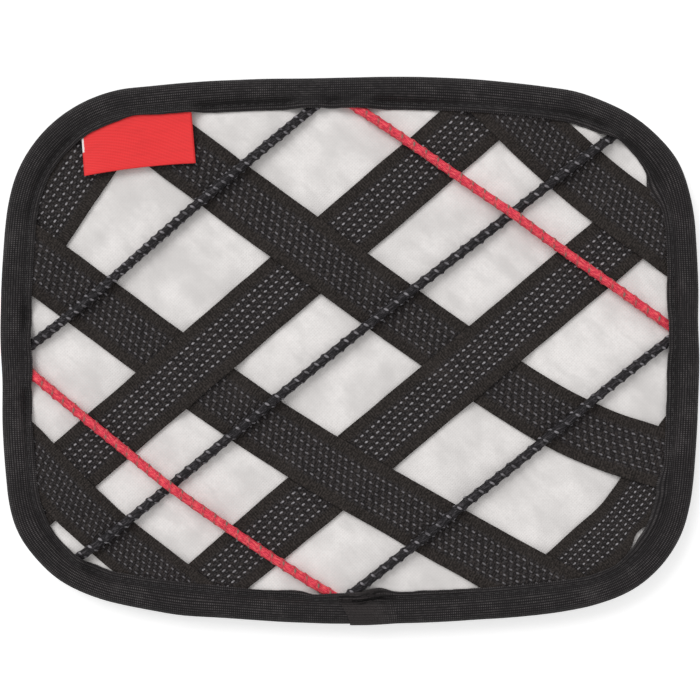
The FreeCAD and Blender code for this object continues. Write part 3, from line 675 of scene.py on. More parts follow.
def label_finish(settings):
    """Woven label: fine slanted ribs in smooth thread, and a bit of white selvedge at its left."""
    finish = Finish("label satin", Roughness=0.45, Specular_IOR_Level=0.25, Sheen_Weight=0.04,
                    Sheen_Roughness=0.3)
    along, across = finish.weave()
    twill = (across + along * 0.35).wave(0.8)
    threads = along.wave(0.5)
    uneven = finish.cloud((along * 0.3, across * 1.6, across), 2.2, 3.0)
    half = LABEL_WEAVE[0] / 2
    border = (along - half).absolute().ease(half - 0.7, half)
    fray = finish.cloud((along, across, across), 0.5, 2.0)
    selvedge = (along + fray * 0.6).ease(0.95, 0.7) * across.ease(25.6, 26.1)
    finish.tint(settings.colour, (twill * 0.22, 0.66), (threads * 0.12, 0.75),
                (uneven.ease(0.4, 0.75) * 0.3, 0.74), (border * 0.4, 0.6),
                (selvedge, settings.selvedge_colour))
    return finish.raised(twill * 0.7 + threads * 0.4 + uneven * 0.4, 0.05 * MM, 0.7)


def plain_weave_finish(name, colour, pitch, roughness=0.85):
    """Plain woven cloth in one colour, read from the object's own place."""
    finish = Finish(name, Roughness=roughness, Sheen_Weight=0.08)
    x, y, z = finish.place()
    warp, weft = x.wave(pitch), y.wave(pitch * 1.1)
    checks = warp * weft + (warp * -1.0 + 1.0) * (weft * -1.0 + 1.0)
    fuzz = finish.cloud((x, y, z), pitch * 1.5, 3.0)
    wear = finish.cloud((x, y, z), 18.0, 2.0)
    finish.tint(colour, (checks * 0.55, 0.45), (fuzz.ease(0.5, 0.8) * 0.4, 0.6),
                (wear.ease(0.45, 0.75) * 0.3, 1.6))
    return finish.raised(checks + fuzz * 0.5, 0.1 * MM, 0.7)


def tape_finish(name, colour):
    """Zipper tape: herringbone bands along its length."""
    finish = Finish(name + " weave", Roughness=0.85, Specular_IOR_Level=0.15, Sheen_Weight=0.03)
    x, y = finish.weave()
    zigzag = ((y / 1.6).fract() - 0.5).absolute() * 3.2
    lines = (x + zigzag).wave(0.5)
    fuzz = finish.cloud((x, y, y), 0.6, 3.0)
    finish.tint(colour, (lines * 0.6, 0.4), (fuzz.ease(0.5, 0.8) * 0.4, 0.6))
    return finish.raised(lines + fuzz * 0.4, 0.1 * MM, 0.7)


def coil_finish(name, colour):
    """Nylon coil: smooth, slightly uneven plastic."""
    finish = Finish(name + " nylon", Roughness=0.38, Specular_IOR_Level=0.35)
    x, y, z = finish.place()
    uneven = finish.cloud((x, y, z), 1.2, 3.0)
    finish.tint(colour, (uneven.ease(0.4, 0.7) * 0.5, 1.8))
    finish.rough(uneven * 0.2 + 0.3)
    return finish.raised(uneven, 0.03 * MM, 0.5)


def lacquer_finish(colour):
    """Lacquered zinc: dark enamel, paler where edges and faces have rubbed."""
    finish = Finish("zipper lacquered metal", Roughness=0.34, Metallic=0.85)
    x, y, z = finish.place()
    rub = finish.cloud((x * 0.4, y, z), 1.6, 4.0)
    scratch = finish.cloud((x * 0.15, y * 3.0, z), 0.8, 3.0)
    bare = 4.0
    finish.tint(colour, (rub.ease(0.56, 0.72) * 0.45, bare), (scratch.ease(0.62, 0.72) * 0.5, bare))
    finish.rough(rub * 0.25 + scratch * 0.1 + 0.2)
    return finish.raised(rub, 0.02 * MM, 0.5)


def thread_finish(name, colour):
    """Sewing thread: two plies twisted round each other."""
    finish = Finish(name, Roughness=0.6, Sheen_Weight=0.1)
    x, y, z = finish.place()
    ply = (x + y + z * 1.5).wave(0.45)
    fuzz = finish.cloud((x, y, z), 0.4, 2.0)
    finish.tint(colour, (ply * 0.5, 0.55), (fuzz.ease(0.5, 0.8) * 0.4, 0.7))
    return finish.raised(ply, 0.06 * MM, 0.7)


def foam_finish(colour):
    """Open foam: small cells."""
    finish = Finish("padding foam", Roughness=0.95)
    x, y, z = finish.place()
    cells = finish.cloud((x, y, z), 0.5, 4.0)
    stain = finish.cloud((x, y, z), 12.0, 2.0)
    finish.tint(colour, (cells.ease(0.45, 0.6) * 0.6, 0.6), (stain.ease(0.4, 0.8) * 0.3, 0.75))
    return finish.raised(cells, 0.2 * MM, 0.8)


def board_finish(colour):
    """Fibre board: long pale fibres pressed flat."""
    finish = Finish("stiffener fibre board", Roughness=0.9)
    x, y, z = finish.place()
    fibres = finish.cloud((x * 0.2, y * 2.0, z), 1.0, 4.0)
    specks = finish.cloud((x, y, z), 0.7, 2.0)
    finish.tint(colour, (fibres.ease(0.4, 0.7) * 0.6, 0.6), (specks.ease(0.66, 0.72) * 0.5, 0.35))
    return finish.raised(fibres, 0.08 * MM, 0.6)


# ---- settings
def colour_property(name, of_what, *levels):
    return FloatVectorProperty(name=name, description="Colour of " + of_what, subtype="COLOR", size=3,
                               min=0.0, max=1.0, default=srgb(*levels))


def length_property(name, description, millimetres):
    return FloatProperty(name=name, description=description, unit="LENGTH", min=0.0, precision=5,
                         default=millimetres * MM)


def number_property(name, description, default, **limits):
    return FloatProperty(name=name, description=description, default=default, **limits)


class POUCH_PG_stage(bpy.types.PropertyGroup):
    floor_colour: colour_property("Floor", "the floor", 244, 244, 244)
    view_width: length_property("View width", "Width that the camera takes in at the pouch", 207.1)
    lens: number_property("Lens", "Focal length in millimetres", 85.0)
    sky: number_property("Soft light", "Strength of the light from all round", 0.62)
    key: number_property("Key light", "Strength of the lamp at the upper left", 1.25)
    key_spread: number_property("Key spread", "How wide the lamp looks, so how soft its shadows are",
                                math.radians(34), subtype="ANGLE")


class POUCH_PG_panel(bpy.types.PropertyGroup):
    colour: colour_property("Satin", "the front panel", 247, 243, 241)
    swell: length_property("Swell", "How far the panel stands up between the straps", 0.55)
    pucker: length_property("Pucker", "Height of the puckers along the binding", 0.32)


class POUCH_PG_straps(bpy.types.PropertyGroup):
    border_colour: colour_property("Border", "the twill borders", 43, 39, 37)
    middle_colour: colour_property("Middle", "the middle band", 34, 32, 34)
    faint_colour: colour_property("Faint flecks", "the faint spots between the flecks", 98, 96, 98)
    # one fleck yarn, lit and shaded: painted lighter on rising straps and darker on falling straps, as the
    # key light falls on the weave
    rising_fleck_lit_colour: colour_property("Rising flecks", "the flecks on rising straps", 160, 157, 160)
    falling_fleck_shaded_colour: colour_property("Falling flecks", "the flecks on falling straps", 120, 117, 120)
    band: length_property("Band", "Width of the band that has flecks", 11.0)
    row_pitch: length_property("Row pitch", "Distance between rows of flecks", 2.22)
    fleck_pitch: length_property("Fleck pitch", "Distance between flecks in a row", 2.08)
    fleck_length: length_property("Fleck length", "Length of one fleck", 1.05)
    fleck_width: length_property("Fleck width", "Width of one fleck", 0.58)


class POUCH_PG_cords(bpy.types.PropertyGroup):
    black: colour_property("Black", "the black cords", 30, 28, 30)
    # the lighter yarn colours are painted highlights on the yarns
    black_yarn_highlight: colour_property("Light yarn on black", "the black cords' lighter yarns", 76, 73, 76)
    black_fleck: colour_property("Fleck on black", "the flecks on black", 140, 137, 141)
    red: colour_property("Red", "the red cords", 255, 60, 88)
    # painted highlight on the red yarns
    red_yarn_highlight: colour_property("Light yarn on red", "the red cords' lighter yarns", 255, 116, 112)
    red_fleck: colour_property("Fleck on red", "the flecks on red", 128, 112, 98)
    black_radius: length_property("Black radius", "Radius of a black cord", 1.58)
    red_radius: length_property("Red radius", "Radius of a red cord", 1.52)
    black_knurl: number_property("Black knurl", "Height of the bumps as a share of the radius", 0.26,
                                 min=0.0, max=0.4)
    red_knurl: number_property("Red knurl", "Height of the bumps as a share of the radius", 0.21,
                               min=0.0, max=0.4)
    sides: IntProperty(name="Sides", description="Faces round a cord", min=8, default=20)


class POUCH_PG_label(bpy.types.PropertyGroup):
    colour: colour_property("Label", "the label", 246, 54, 56)
    selvedge_colour: colour_property("Selvedge", "the selvedge at its left", 246, 240, 238)
    curl: length_property("Curl", "How far the label's free edge lifts", 0.35)


class POUCH_PG_binding(bpy.types.PropertyGroup):
    colour: colour_property("Tape", "the binding tape", 35, 33, 34)
    lap_colour: colour_property("Lap", "the tape's lapped end", 58, 54, 54)
    # the points' colour is a painted highlight on the weave's raised points
    point_highlight_colour: colour_property("Points", "the weave's raised points", 94, 90, 90)
    rib_pitch: length_property("Rib pitch", "Distance between ribs along the rim", 0.6)
    row_pitch: length_property("Row pitch", "Distance between rows across the tape", 0.75)
    wave: length_property("Wave", "How far the inner edge wanders", 0.22)
    stitch_pitch: length_property("Stitch pitch", "Distance from one stitch to the next", 2.7)
    stitch_colour: colour_property("Stitches", "the sewing thread", 27, 26, 27)


class POUCH_PG_back(bpy.types.PropertyGroup):
    cloth_colour: colour_property("Back cloth", "the back panel", 50, 48, 50)
    tape_colour: colour_property("Zipper tape", "the zipper's tapes", 42, 40, 42)
    coil_colour: colour_property("Coil", "the nylon coil", 40, 38, 40)
    thread_colour: colour_property("Thread", "the thread round the zipper", 62, 60, 63)
    metal_colour: colour_property("Metal", "the slider, pull and stops", 70, 70, 74)


# ---- operators
FLOOR_HALF, FLOOR_Z = 4.0, -0.2 * MM
FLOOR_GLOW = 0.44            # lifts the floor to white where it is seen
KEY_FROM = Vector((-0.62, 0.75, 1.0))


class POUCH_OT_stage(bpy.types.Operator):
    """Floor, soft light and camera"""
    bl_idname = "pouch.stage"
    bl_label = "Stage"

    def execute(self, context):
        scene, settings = context.scene, context.scene.pouch_stage
        bm = bmesh.new()
        bmesh.ops.create_grid(bm, x_segments=4, y_segments=4, size=FLOOR_HALF)
        bmesh.ops.translate(bm, verts=bm.verts, vec=(0, 0, FLOOR_Z))
        floor = make_piece(bm, "floor", self.floor_finish(settings), body=None)

        world = bpy.data.worlds.new("studio")
        scene.world = world
        world.use_nodes = True
        self.backdrop(world.node_tree, settings)

        sun = bpy.data.lights.new("key", "SUN")
        sun.energy, sun.angle = settings.key, settings.key_spread
        lamp = bpy.data.objects.new("key", sun)
        lamp.rotation_euler = KEY_FROM.to_track_quat("Z", "Y").to_euler()
        scene.collection.objects.link(lamp)

        lens = bpy.data.cameras.new("camera")
        lens.lens = settings.lens
        lens.clip_start, lens.clip_end = 0.01, 20
        camera = bpy.data.objects.new("camera", lens)
        distance = settings.view_width * lens.lens / lens.sensor_width
        camera.location = (0, 0, PANEL_TOP + distance)
        scene.collection.objects.link(camera)
        scene.camera = camera
        scene.view_settings.view_transform = "Standard"
        return {"FINISHED"}

    def seen(self, tree):
        """1 for rays from the camera and in reflections, 0 for light that falls on the pouch."""
        path = tree.nodes.new("ShaderNodeLightPath")
        camera = Field(tree, path.outputs["Is Camera Ray"])
        glossy = Field(tree, path.outputs["Is Glossy Ray"])
        through = Field(tree, path.outputs["Is Transmission Ray"])
        return camera.maximum(glossy).maximum(through)

    def floor_finish(self, settings):
        """Matt floor that glows a little for the rays that see it."""
        finish = Finish("floor", Roughness=0.9, Specular_IOR_Level=0.1, Emission_Color=(1, 1, 1, 1),
                        Base_Color=(*settings.floor_colour, 1))
        glow = self.seen(finish.tree) * FLOOR_GLOW
        finish.tree.links.new(glow.socket, finish.shader.inputs["Emission Strength"])
        return finish.material

    def backdrop(self, tree, settings):
        """White all round, which lights the pouch less strongly than it looks."""
        light = next(node for node in tree.nodes if node.type == "BACKGROUND")
        put(light, Color=(1, 1, 1, 1))
        strength = self.seen(tree) * (1.0 - settings.sky) + settings.sky
        tree.links.new(strength.socket, light.inputs["Strength"])


class POUCH_OT_straps(bpy.types.Operator):
    """Eight woven elastic straps laced over and under each other"""
    bl_idname = "pouch.straps"
    bl_label = "Elastic straps"

    def execute(self, context):
        settings = context.scene.pouch_straps
        finishes = {
            # the two finishes are lit and shaded copies: painted lighter flecks on rising straps, painted
            # darker ones on falling straps
            "rising": elastic_finish("elastic rising", settings, settings.rising_fleck_lit_colour, 0.0),
            "falling": elastic_finish("elastic falling", settings, settings.falling_fleck_shaded_colour, 0.5),
        }
        lines = {name: strap_line(name) for name in STRAPS}
        trees = {name: tree_of(points) for name, (points, _) in lines.items()}
        for number, name in enumerate(STRAPS):
            below = [trees[other] for other in PASSES_OVER.get(name, [])]
            self.strap(name, lines[name], below, finishes[name.split("_")[1]], number)
        return {"FINISHED"}

    def strap(self, name, line, below, finish, number):
        points, directions = line
        _, (first_width, width, last_width), stretch = STRAPS[name]
        pinches = PINCHES.get(name, [])
        rows = 16
        top = PANEL_TOP + SEAT + STRAP_T
        reach = STRAP_WIDTH / 2 + 0.6 * MM       # within this of another strap's middle, it lies on it

        def across(column, row):
            share = column / len(points)
            change = (first_width - width) * smooth(0.3, 0, share)
            change += (last_width - width) * smooth(0.84, 1, share)
            drawn = sum(depth * math.exp(-((share - middle) / spread) ** 2)
                        for middle, spread, depth in pinches)
            return ((width + change) * (row / rows - 0.5) + drawn * (1 - row / rows) ** 4) * MM

        def place(column, row):
            side = UP.cross(directions[column]).normalized()
            waver = 0.16 * MM * noise.noise(Vector((column * 0.09, number * 7.3, row // rows)))
            spot = points[column] + side * (across(column, row) + waver)
            lift = max([smooth(reach + STRAP_RAMP, reach, tree.find(spot)[2]) for tree in below] or [0])
            crown = STRAP_CROWN * (1 - (2 * row / rows - 1) ** 2)
            return spot + UP * (top + STRAP_STEP * lift + crown - STRAP_CROWN)

        def weave(column, row):
            return column / stretch + number * 3.1, STRAP_WIDTH / MM * (row / rows - 0.5)

        bm = woven_grid(len(points) - 1, rows, place, weave)
        trim(bm, LAYER_INSET + SEAT)
        piece = make_piece(bm, name, finish, replaces=[name])
        thicken(piece, STRAP_T - STRAP_CROWN)
        soften(piece, 0.22 * MM)


class POUCH_OT_cords(bpy.types.Operator):
    """Five round elastic cords pulled tight across the straps"""
    bl_idname = "pouch.cords"
    bl_label = "Elastic cords"

    def execute(self, context):
        settings = context.scene.pouch_cords
        surfaces = [surface_of(name) for name in STRAPS]
        for name in CORDS:
            self.cord(name, settings, surfaces)
        return {"FINISHED"}

    def cord(self, name, settings, surfaces):
        length, fleck_pitch, first_turn, last_turn, route = CORDS[name]
        if name.startswith("cord_red"):
            slot, fleck_size, gloss = "cord_red", (0.36, 0.34), 0.32
            radius, knurl = settings.red_radius, settings.red_knurl
            colours = settings.red, settings.red_yarn_highlight, settings.red_fleck
        else:
            slot, fleck_size, gloss = "cord_black", (0.42, 0.36), 0.14
            radius, knurl = settings.black_radius, settings.black_knurl
            colours = settings.black, settings.black_yarn_highlight, settings.black_fleck
        finish = braid_finish(name.replace("_", " ") + " braid", colours, fleck_size, fleck_pitch, gloss)
        route = [Vector([value * MM for value in point]) for point in route]
        points, directions = evenly(spline_points(route), CORD_STEP)
        sides = settings.sides
        step = (points[1] - points[0]).length / MM
        rests = []
        for point in points:
            _, inset = rim_distance(point.x, point.y)
            pressed = smooth(CORD_FREE, CORD_PRESSED, inset)
            rests.append((pressed, top_of(surfaces, point.x, point.y, PANEL_TOP) if pressed else 0))

        def turned(column):
            """Turns by which the braid has twisted round the cord, up to a column."""
            return first_turn + (last_turn - first_turn) * column / len(points)

        def relief(along, around):
            """Knurl of the braid: it swells up to each fleck and steps down behind it."""
            row, aside = divmod(around % 1 * 4, 1)
            ahead = ((along / fleck_pitch + row * 0.25) % 1 - 0.5) * fleck_pitch + (aside - 0.5) * 0.9
            swell = math.exp(-(ahead / (0.4 if ahead < 0 else 0.7)) ** 2)
            uneven = 1 + 0.8 * noise.noise(Vector((along * 0.55, row * 3.1, fleck_pitch)))
            return 1 - knurl * 0.62 + knurl * swell * uneven * math.cos((aside - 0.5) * 2.6)

        def place(column, row):
            side = UP.cross(directions[column]).normalized()
            rise = directions[column].cross(side)
            turn = -math.tau * row / sides
            reach = radius * relief(column * step, row / sides + turned(column))
            spot = points[column] + (side * math.cos(turn) + rise * math.sin(turn)) * reach
            pressed, rest = rests[column]
            if pressed:
                room = min(1.0, (CORD_CEILING - rest) / (2 * radius))
                flat = rest + (spot.z - points[column].z + radius) * room
                spot.z += (flat - spot.z) * pressed
            return spot

        bm = woven_grid(len(points) - 1, sides, place,
                        lambda column, row: (column * step, row / sides + turned(column)))
        close_ends(bm, 0.005 * MM)
        piece = make_piece(bm, name, finish, replaces=[name])
        tuple(points[0])
        [tuple(point) for point in points]


class POUCH_OT_front_panel(bpy.types.Operator):
    """Satin front panel, swelling between the straps and puckered along the binding"""
    bl_idname = "pouch.front_panel"
    bl_label = "Front panel"

    def execute(self, context):
        settings = context.scene.pouch_panel
        middles = tree_of([point for name in STRAPS for point in strap_line(name)[0]])

        def height(x, y, distance, inset):
            free = middles.find(Vector((x, y, 0)))[2] - STRAP_WIDTH / 2
            open_cloth = smooth(0.0, 7 * MM, free)
            inside = smooth(8.5 * MM, 17 * MM, inset)
            # it swells between the straps, creases a little everywhere and puckers along the binding
            swell = settings.swell * open_cloth * inside * (0.75 + 0.5 * ripple(x, y, 21 * MM, 3.0))
            creases = 0.30 * MM * ripple(x + y * 0.4, y, 8 * MM, 9.0) * (0.35 + 0.65 * open_cloth)
            folds = settings.pucker * ripple(distance, inset * 0.3, 4.2 * MM, 5.0)
            folds *= smooth(16 * MM, 9.5 * MM, inset) * smooth(7.5 * MM, 9 * MM, inset)
            return PANEL_TOP + swell + min(0, creases) + folds * open_cloth - 0.02 * MM

        piece = make_piece(pouch_cloth(height), "front_panel_cloth", satin_finish(settings),
                           replaces=["front_panel"])
        thicken(piece, FRONT_T)
        rounding = piece.modifiers.new("smooth cloth", "SUBSURF")
        rounding.levels = rounding.render_levels = 1
        return {"FINISHED"}


class POUCH_OT_label(bpy.types.Operator):
    """Folded woven label at the upper left, left bare"""
    bl_idname = "pouch.label"
    bl_label = "Label"

    def execute(self, context):
        settings = context.scene.pouch_label
        columns, flat_rows, fold_rows = 44, 16, 6
        rows = 2 * flat_rows + fold_rows
        hem = [Vector((x * MM, y * MM, 0)) for x, y in LABEL_HEM]
        top = [Vector((x * MM, y * MM, 0)) for x, y in LABEL_TOP]
        middle = hem[1] * 2 - (hem[0] + hem[2]) / 2

        def edges(part):
            """Points of the lower and the upper edge at a part of the way along."""
            low = hem[0] * (1 - part) ** 2 + middle * 2 * part * (1 - part) + hem[2] * part ** 2
            high = top[0].lerp(top[1], part)
            high.y += LABEL_BOW * 4 * part * (1 - part)
            return low, high

        def place(column, row):
            part = column / columns
            low, high = edges(part)
            upward = (high - low).normalized()
            if row < flat_rows:
                share, turn = 1 - row / flat_rows, math.pi
            elif row <= flat_rows + fold_rows:
                share, turn = 0, math.pi * (1 - (row - flat_rows) / fold_rows)
            else:
                share, turn = (row - flat_rows - fold_rows) / flat_rows, 0
            spot = low.lerp(high, share) - upward * (LABEL_T / 2) * math.sin(turn)
            spot.z = LABEL_LOW + LABEL_T / 2 * (1 + math.cos(turn))
            free = (1 - share) ** 2
            spot.z += settings.curl * free * (0.5 + 0.5 * math.cos(math.pi * part * 1.6))
            spot.z += 0.12 * MM * ripple(spot.x, spot.y, 7 * MM, 2.0) * (1 - share)
            return spot

        def weave(column, row):
            return column / columns * LABEL_WEAVE[0], row / rows * LABEL_WEAVE[1]

        bm = woven_grid(columns, rows, place, weave)
        trim(bm, LABEL_INSET)
        piece = make_piece(bm, "label_cloth", label_finish(settings), body=None,
                           replaces=["label_seam", "label_flap"])
        thicken(piece, LABEL_PLY_T)
        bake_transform(piece)
        return {"FINISHED"}


def bulge(waves, distance):
    """Sum of soft bumps round the rim, each given by its distance, reach and size."""
    total = 0.0
    for place, reach, size in waves:
        away = (distance - place * MM + PERIMETER / 2) % PERIMETER - PERIMETER / 2
        total += size * MM * math.exp(-(away / (reach * MM)) ** 2)
    return total


def add_stitch(bm, middle, direction, length, radius, sides=6, bands=5):
    """One short length of thread, a ball drawn out: thick in the middle, pulled in at its ends."""
    turn = direction.to_track_quat("X", "Z").to_matrix().to_4x4()
    shape = Matrix.Translation(middle) @ turn @ Matrix.Diagonal((length / 2, radius, radius, 1))
    top, bottom = bm.verts.new(shape @ UP), bm.verts.new(shape @ -UP)
    rings = []
    for tilt in (math.pi * band / bands for band in range(1, bands)):
        ring = [Matrix.Rotation(math.tau * side / sides, 4, "Z") @ Vector((0, math.sin(tilt), math.cos(tilt)))
                for side in range(sides)]
        rings.append([bm.verts.new(shape @ spot) for spot in ring])
    for side in range(sides):
        bm.faces.new((top, rings[0][side - 1], rings[0][side]))
        for upper, lower in zip(rings, rings[1:]):
            bm.faces.new((upper[side - 1], lower[side - 1], lower[side], upper[side]))
        bm.faces.new((bottom, rings[-1][side], rings[-1][side - 1]))


def sew(name, finish, stitches, length, radius):
    """Piece made of stitches, each given by its middle and its direction."""
    bm = bmesh.new()
    for middle, direction in stitches:
        add_stitch(bm, middle, direction, length, radius)
    make_piece(bm, name, finish)


# ---- the binding's section, in millimetres from its front lip to its back lip: inset, height, how
# far the point follows what the lip lies on, and its height over that
BEAD, BEAD_TOP = 3.2, 10.75  # radius of its outer bends, and its height
SECTION = [
    (9.44, 0, 1, 0.06), (9.52, 0, 1, 0.30), (9.42, 0, 1, 0.52), (9.18, 0, 1, 0.64), (8.90, 0, 1, 0.64),
    (8.60, 0, 1, 0.62), (8.30, 0, 1, 0.60), (8.00, 0, 1, 0.54), (7.70, 8.6, 1, 0.46),
    (7.35, 8.9, 0.9, 0.55), (6.95, 9.50, 0.6, 0.85), (6.45, 10.05, 0.25, 1.15), (5.85, 10.38, 0, 0),
    (5.20, 10.57, 0, 0), (4.50, 10.68, 0, 0), (3.80, 10.74, 0, 0),
]
SECTION += [(BEAD - BEAD * math.sin(turn), BEAD_TOP - BEAD + BEAD * math.cos(turn), 0, 0)
            for turn in (math.radians(15 * step) for step in range(7))]
SECTION += [(0.0, 6.2, 0, 0), (0.0, 4.7, 0, 0)]
SECTION += [(BEAD - BEAD * math.cos(turn), BEAD - BEAD * math.sin(turn), 0, 0)
            for turn in (math.radians(18 * step) for step in range(6))]
SECTION += [(4.6, 0.0, 0, 0), (6.2, 0.0, 0, 0), (7.5, 0.03, 0, 0), (7.85, 0.16, 0, 0), (8.2, 0.03, 0, 0),
            (8.8, 0.0, 0, 0), (9.2, 0.02, 0, 0), (9.3, 0.30, 0, 0)]
LIP_POINTS = 8               # the section's points that belong to the front lip
LIP_INSETS = (8.0, 8.6, 9.2, 9.8)    # where the heights that the lip lies on are taken
LIP_CEILING = 10.15 * MM
BOTTOM_ARC = 6               # the outline's arc that is the bottom side
# creases near the fold of the lapped end, in millimetres: place across the tape, width, and where
# along it they start and end
LAP_CREASES = [(6.6, 0.42, -2.5, 12.5), (8.2, 0.42, 0.5, 15.0), (9.8, 0.4, 2.0, 10.0)]


class POUCH_OT_binding(bpy.types.Operator):
    """Grosgrain binding folded over the rim, its lapped end and its stitching"""
    bl_idname = "pouch.binding"
    bl_label = "Binding"

    def execute(self, context):
        settings = context.scene.pouch_binding
        columns = 740
        self.step = PERIMETER / columns
        self.wave = settings.wave
        self.lips = self.lip_heights(columns)
        finish = grosgrain_finish("binding grosgrain", settings)
        rows = len(SECTION) - 1

        def place(column, row):
            return self.point(column % columns * self.step, rows - row, 0)

        def weave(column, row):
            return column * self.step / MM, self.across(rows - row)

        bm = woven_grid(columns, rows, place, weave)
        bmesh.ops.remove_doubles(bm, verts=bm.verts, dist=0.001 * MM)
        ring = make_piece(bm, "binding_tape", finish, replaces=["edge_binding"])
        thicken(ring, BINDING_T)
        self.lap(settings)
        self.stitches(settings)
        return {"FINISHED"}

    def lip_heights(self, columns):
        """Height that the lip lies on all round: panel, straps, cords or label."""
        surfaces = [surface_of(name) for name in [*STRAPS, *CORDS, "label_cloth"]]
        found = []
        for column in range(columns):
            edge, outward = rim(column * self.step)
            tops = [top_of(surfaces, *(edge - outward * inset * MM).xy, PANEL_TOP + 0.1 * MM)
                    for inset in LIP_INSETS]
            found.append(min(max(tops), LIP_CEILING))
        wide = [max(found[(column + off) % columns] for off in range(-2, 3)) for column in range(columns)]
        weights = [1, 2, 3, 4, 3, 2, 1]
        return [sum(weight * wide[(column + off - 3) % columns] for off, weight in enumerate(weights))
                / sum(weights) for column in range(columns)]

    def lip(self, distance):
        """Height of what the lip lies on, at a distance round the rim."""
        place = (distance / self.step) % len(self.lips)
        index = int(place)
        near, far = self.lips[index], self.lips[(index + 1) % len(self.lips)]
        return near + (far - near) * (place - index)

    def section_point(self, distance, row):
        """(inset, height) at a row of the section, which may lie between two, round the rim."""
        index = min(int(row), len(SECTION) - 2)
        inset, height, follow, over = Vector(SECTION[index]).lerp(Vector(SECTION[index + 1]), row - index)
        inset, height = inset * MM, height * MM
        height += (self.lip(distance) + over * MM - height) * follow
        if row < LIP_POINTS:
            turn = math.tau * distance / PERIMETER
            x, y = 5 * math.cos(turn), 5 * math.sin(turn)
            wander = sum(share * noise.noise(Vector((x, y, share)) * pace)
                         for share, pace in ((1.0, 1.3), (0.5, 4.6), (0.35, 11.0)))
            inset += (self.wave * 1.5 * wander + bulge(LIP_WAVES, distance)) * (1 - row / LIP_POINTS)
        return inset - bulge(RIM_WAVES, distance) * smooth(7.0 * MM, 4.0 * MM, inset), height

    def point(self, distance, row, lift):
        """Point of the binding; lift moves it outwards, square to the section."""
        inset, height = self.section_point(distance, row)
        before = self.section_point(distance, max(0, row - 1))
        after = self.section_point(distance, min(len(SECTION) - 1, row + 1))
        along = Vector((after[0] - before[0], after[1] - before[1])).normalized()
        edge, outward = rim(distance)
        lift += 0.10 * MM * noise.noise(Vector((edge.x, edge.y, row * 4 * MM)) / (11 * MM))
        inset, height = inset + along.y * lift, height - along.x * lift
        return edge - outward * inset + UP * max(height, 0.0)

    def across(self, row):
        """Millimetres of tape from the front lip to a row of the section."""
        heights = [height or (9.0 if index < LIP_POINTS else 0.0)
                   for index, (_, height, _, _) in enumerate(SECTION)]
        last = int(row)
        total = sum(math.hypot(SECTION[index][0] - SECTION[index + 1][0], heights[index] - heights[index + 1])
                    for index in range(last))
        return total + 0.5 * (row - last)

    def lap(self, settings):
        """The tape's folded end, laid over its start at the middle of the bottom side."""
        centre, radius, start, _ = ARCS[BOTTOM_ARC]
        passed = sum(arc[1] * arc[3] for arc in ARCS[:BOTTOM_ARC])
        fold = passed + radius * ((math.atan2(-HALF_Y - centre.y, -centre.x) - start) % math.tau)
        columns, finer, length, skew = 60, 3, 17.0 * MM, 3.4 * MM
        rows = 27 * finer

        def place(column, row):
            place_row = (rows - row) / finer
            lean = skew * smooth(20, 8, place_row)
            distance = fold - lean + (length + lean) * column / columns
            run = (distance - fold) / MM
            flat = smooth(7, 3, place_row) * smooth(5, -3, run)
            lift = 0.50 * MM * smooth(columns, 8, column) * (1 - flat) - 0.05 * MM
            for crease, spread, first, last in LAP_CREASES:
                along = smooth(first - 2, first + 1.5, run) * smooth(last + 2, last - 1.5, run)
                slant = place_row - crease + 0.10 * (run - 5)
                lift += 0.45 * MM * math.exp(-(slant / spread) ** 2) * along
                lift -= 0.40 * MM * math.exp(-((slant - 0.85) / spread) ** 2) * along
            return self.point(distance, place_row, lift)

        def weave(column, row):
            return (fold + length * column / columns) / MM, self.across((rows - row) / finer)

        bm = woven_grid(columns, rows, place, weave)
        finish = grosgrain_finish("binding lap grosgrain", settings, fold / MM)
        piece = make_piece(bm, "binding_lap", finish, replaces=["binding_overlap"])
        thicken(piece, LAP_T)
        soften(piece, 0.12 * MM)

    def stitches(self, settings):
        """Rows of thread sunk in the groove near both lips; the front one half follows its waves."""
        thread = thread_finish("binding thread", settings.stitch_colour)
        count = round(PERIMETER / settings.stitch_pitch)
        for name, inset, back in (("binding_stitches_front", 7.62, False),
                                  ("binding_stitches_back", 7.85, True)):
            stitches = []
            for number in range(count):
                distance = PERIMETER * number / count
                edge, outward = rim(distance)
                height = 0.12 * MM if back else self.lip(distance) + 0.44 * MM
                inward = inset * MM + (0 if back else bulge(LIP_WAVES, distance) * 0.4)
                stitches.append((edge - outward * inward + UP * height, UP.cross(outward)))
            sew(name, thread, stitches, length=1.8 * MM, radius=0.13 * MM)


